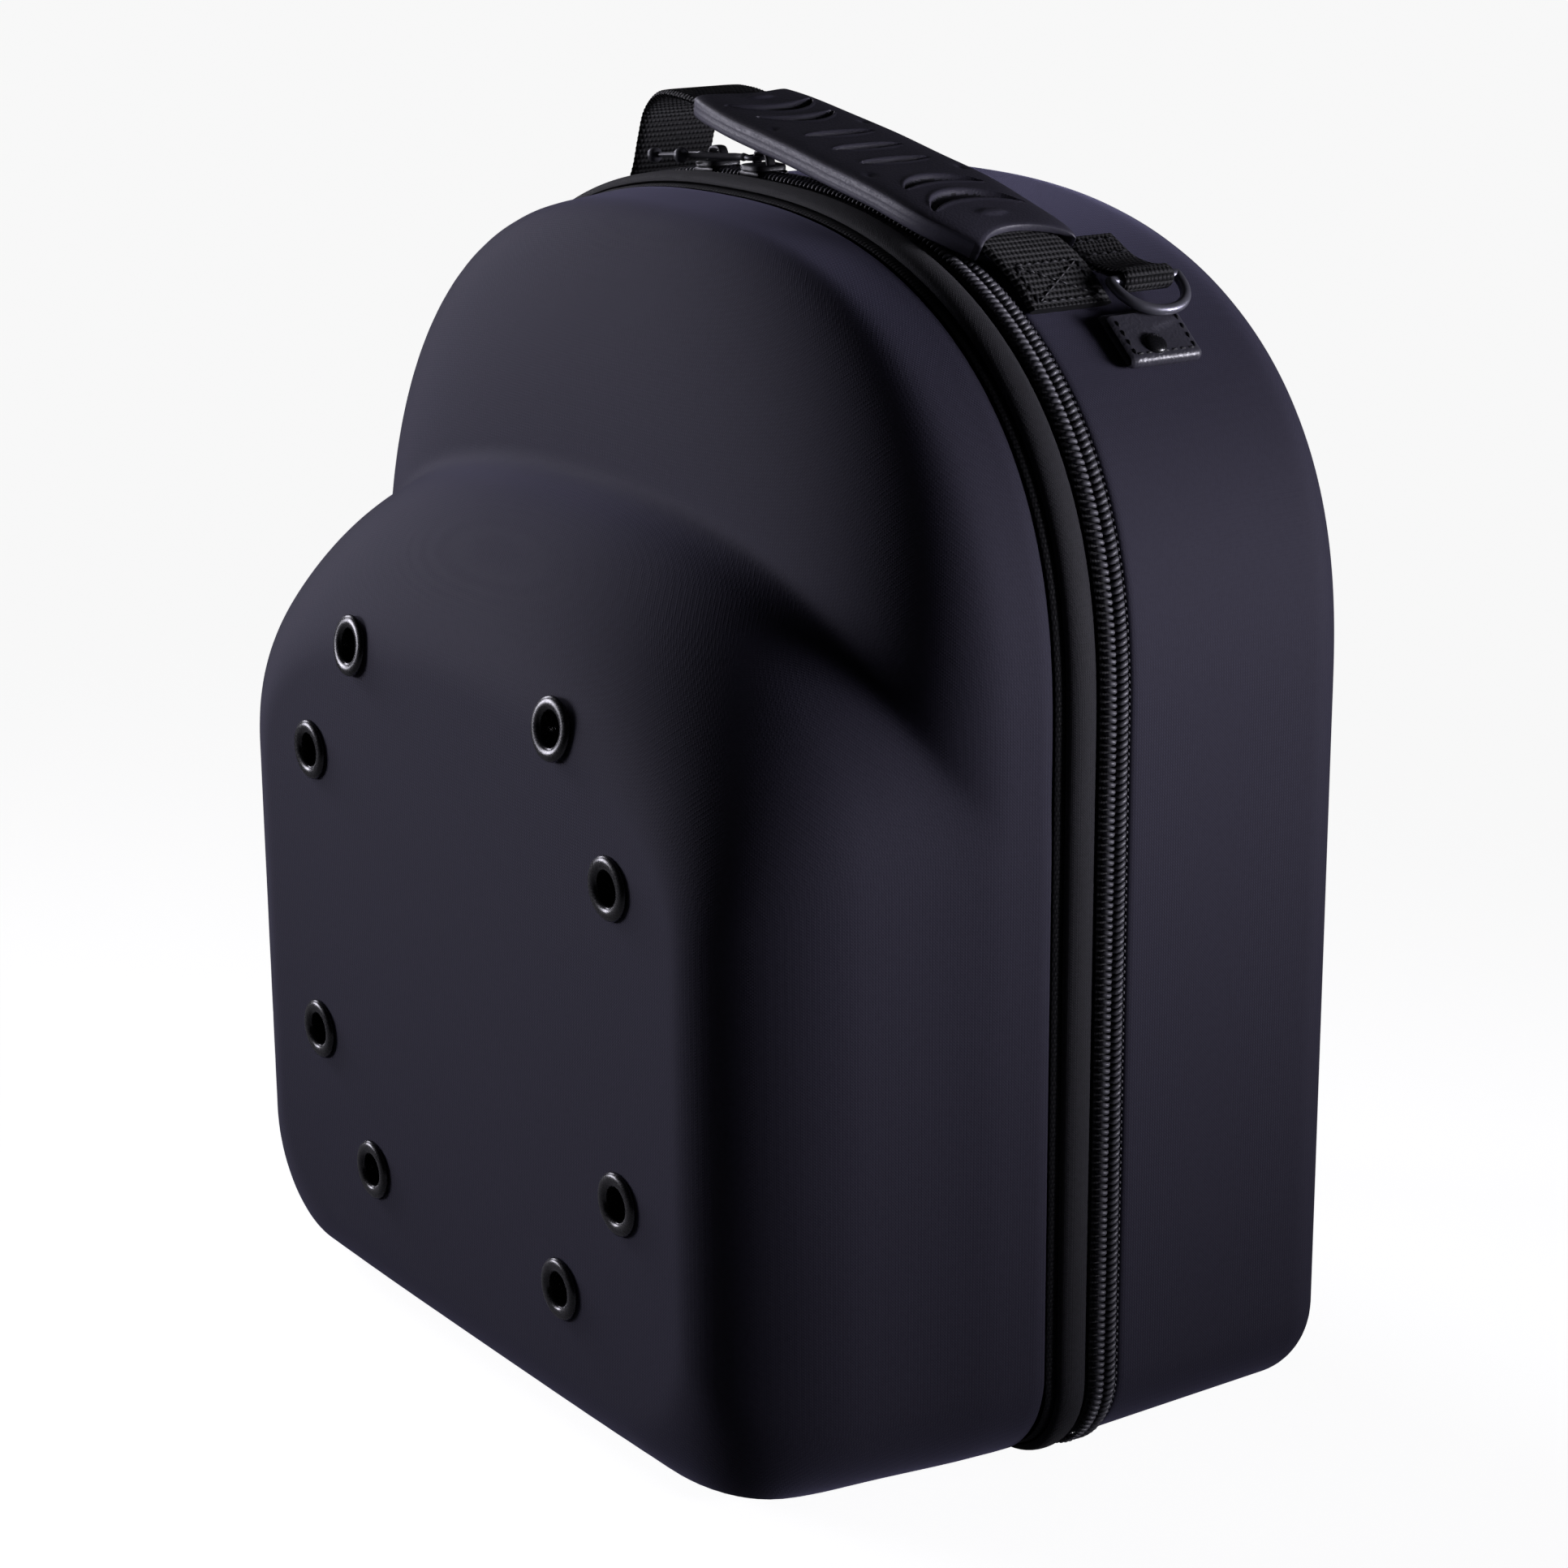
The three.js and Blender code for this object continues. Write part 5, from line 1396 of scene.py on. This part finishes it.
def tab_rivet():
    along = (RIVET["x"] - tab_seat[0][0]) / tab_seat[2][0]
    centre = on_seat(tab_seat, [along, TAB_TOP + 0.05, RIVET["y"] - TAB["y"]])
    head, dome, brim = RIVET["head"], RIVET["dome"], RIVET["brim"]
    sweep = np.linspace(0, np.pi / 2, 12)
    crown = [(head * np.cos(a) ** 0.9, brim + dome * np.sin(a)) for a in sweep[:-1]]
    foot = RIVET["tip_lift"] - TAB_TOP
    profile = [(RIVET["shank"], foot), (RIVET["shank"], 0.0), (head - 0.1, 0.0), *crown]
    rings = turned(profile, 40)
    rings = centre + rings[..., :1] * tab_seat[2] + rings[..., 1:2] * ACROSS + rings[..., 2:] * tab_seat[1]
    blank = Blank()
    blank.skin(rings, tips=(None, centre + tab_seat[1] * (brim + dome)))
    return blank


both_sides(tab_rivet, "tab_rivet", [black_enamel], "black_metal")

# %% [markdown]
# ## Sliders and pulls
# Two sliders meet near the top of the zip, each with a bridge that holds the ring of a slim pull ending in
# a ball. The plate is lofted from rounded outlines so that its edges catch light, the bridge is a bar swept
# over an arch, and the pull is turned. All of it is drawn lying flat and then placed on the slope of the zip.

# %% Sliders
SLIDER = {"length": 9.0, "width": 9.4, "plate": 1.4, "skirt": 1.6, "lip": 0.8, "bite": 0.2}
BRIDGE = {"width": 2.4, "height": 3.6, "band": 1.1, "margin": 1.0, "inner_slant": 0.8}
SKIRT_TAPER = np.array([0.5, 0.85, 1, 1, 1, 1, 1, 0.85, 0.5])
SKIRT_WIDE, SKIRT_TALL, SKIRT_REACH, SKIRT_TUCK = 0.4, 0.85, 0.42, 0.97
PLATE_POWER, PLATE_NARROWING = 3.6, 0.07
SLIDER_PLACES = [(-24.0, -4.0, -1.0), (-5.0, -18.0, -2.0)]
CHAIN_TOP, RIDGE_Y = 0.8, 0.4


def slider_seat(x):
    """Where a slider sits on the chain, turned to its slope."""
    def height(at):
        return float(arch_height(at, HALF_WIDTH, HEIGHT, SPRING))

    slope = math.atan(height(x + 0.5) - height(x - 0.5))
    lift = CHAIN_TOP + GAP
    place = Vector((x - math.sin(slope) * lift, RIDGE_Y, height(x) + math.cos(slope) * lift))
    return Matrix.Translation(place) @ Matrix.Rotation(-slope, 4, "Y")


def slider_body():
    blank = Blank()
    rim = rolled_section((0, 0), (SLIDER["length"] / 2, SLIDER["width"] / 2), PLATE_POWER, 72)
    rim[:, 1] *= 1 - PLATE_NARROWING * rim[:, 0] / (SLIDER["length"] / 2)
    levels = [(0.95, 0.0), (1.0, 0.2), (1.0, 1.0), (0.965, 1.25), (0.9, SLIDER["plate"])]
    blank.skin([np.column_stack([rim * scale, np.full(len(rim), z)]) for scale, z in levels])
    reach = np.linspace(-SKIRT_REACH, SKIRT_REACH, len(SKIRT_TAPER)) * SLIDER["length"]
    hang = np.full_like(reach, (SLIDER["bite"] - SLIDER["skirt"]) / 2)
    for side in (-1, 1):
        y = side * (SLIDER["width"] - SLIDER["lip"]) / 2 * SKIRT_TUCK
        line = np.column_stack([reach, np.full_like(reach, y), hang])
        blank.threads(line[None], (0, 0, 1), SKIRT_WIDE * SKIRT_TAPER, SKIRT_TALL * SKIRT_TAPER, sides=10)
    foot = SLIDER["plate"] - SLIDER["bite"]
    half = SLIDER["length"] / 2 - BRIDGE["margin"] - BRIDGE["band"] / 2
    crest = foot + BRIDGE["height"] - BRIDGE["band"] / 2
    arch = [(-half, foot), (-half + 0.5, foot + 1.6), (-half + 1.1, crest - 0.3), (-half + 2.0, crest)]
    path = evenly(smooth_line(arch + [(-a, b) for a, b in arch[::-1]], 20), 60)
    section = rolled_section((0, 0), (BRIDGE["width"] / 2, BRIDGE["band"] / 2), 4, 24)
    blank.skin(swept(path, section)[..., [0, 2, 1]])
    return blank


for number, (x, *_) in enumerate(SLIDER_PLACES, 1):
    blank = slider_body()
    blank.points = [placed(points, slider_seat(x)) for points in blank.points]
    blank.piece(f"zip_slider_{number}", [slider_metal], "black_metal", crease=45)

# %% Pulls
PULL = {"ring": 2.6, "wire": 0.6, "bar": 0.9, "shoulder": 4.0, "length": 23.0, "ball": 1.9, "neck": 0.12}


def pull_body():
    blank = Blank()
    ring, wire = PULL["ring"], PULL["wire"]
    around = 2 * np.pi * np.arange(40) / 40
    tube = 2 * np.pi * np.arange(12) / 12
    radius = ring + wire * np.cos(tube)
    x, y = np.cos(around)[:, None] * radius, np.sin(around)[:, None] * radius
    blank.skin(np.stack([x, y, np.broadcast_to(wire * np.sin(tube), x.shape)], -1), loop=True)
    bar, ball, length = PULL["bar"], PULL["ball"], PULL["length"]
    stem = [(0.6 * bar, ring - 0.2), (0.95 * bar, ring + 1.0)]
    stem += [(bar * 1.1, ring + 1.6), (bar * 0.9, ring + 2.2)]
    stem += [(bar, ring + PULL["shoulder"]), (0.7 * bar, length - ball * 1.2)]
    sweep = np.pi * (PULL["neck"] + (1 - PULL["neck"]) * np.linspace(0, 1, 14))
    stem += [(ball * math.sin(a), length - ball * math.cos(a)) for a in sweep[:-1]]
    rings = turned(stem, 24)
    lying = np.stack([-rings[..., 2], rings[..., 0], rings[..., 1]], -1)
    blank.skin(lying, tips=(None, (-length - ball, 0, 0)))
    return blank


for number, (x, swing, dip) in enumerate(SLIDER_PLACES, 1):
    leg = (BRIDGE["band"] + BRIDGE["inner_slant"]) / 2 + BRIDGE["margin"] - SLIDER["length"] / 2
    held = Vector((leg, 0, SLIDER["plate"] + (BRIDGE["height"] - BRIDGE["band"]) / 2))
    lie = Matrix.Rotation(math.radians(dip), 4, "Y") @ Matrix.Rotation(math.radians(-swing), 4, "Z")
    blank = pull_body()
    seat = slider_seat(x) @ Matrix.Translation(held) @ lie
    blank.points = [placed(points, seat) for points in blank.points]
    blank.piece(f"zip_pull_{number}", [pull_metal], "black_metal", crease=60)

# %% [markdown]
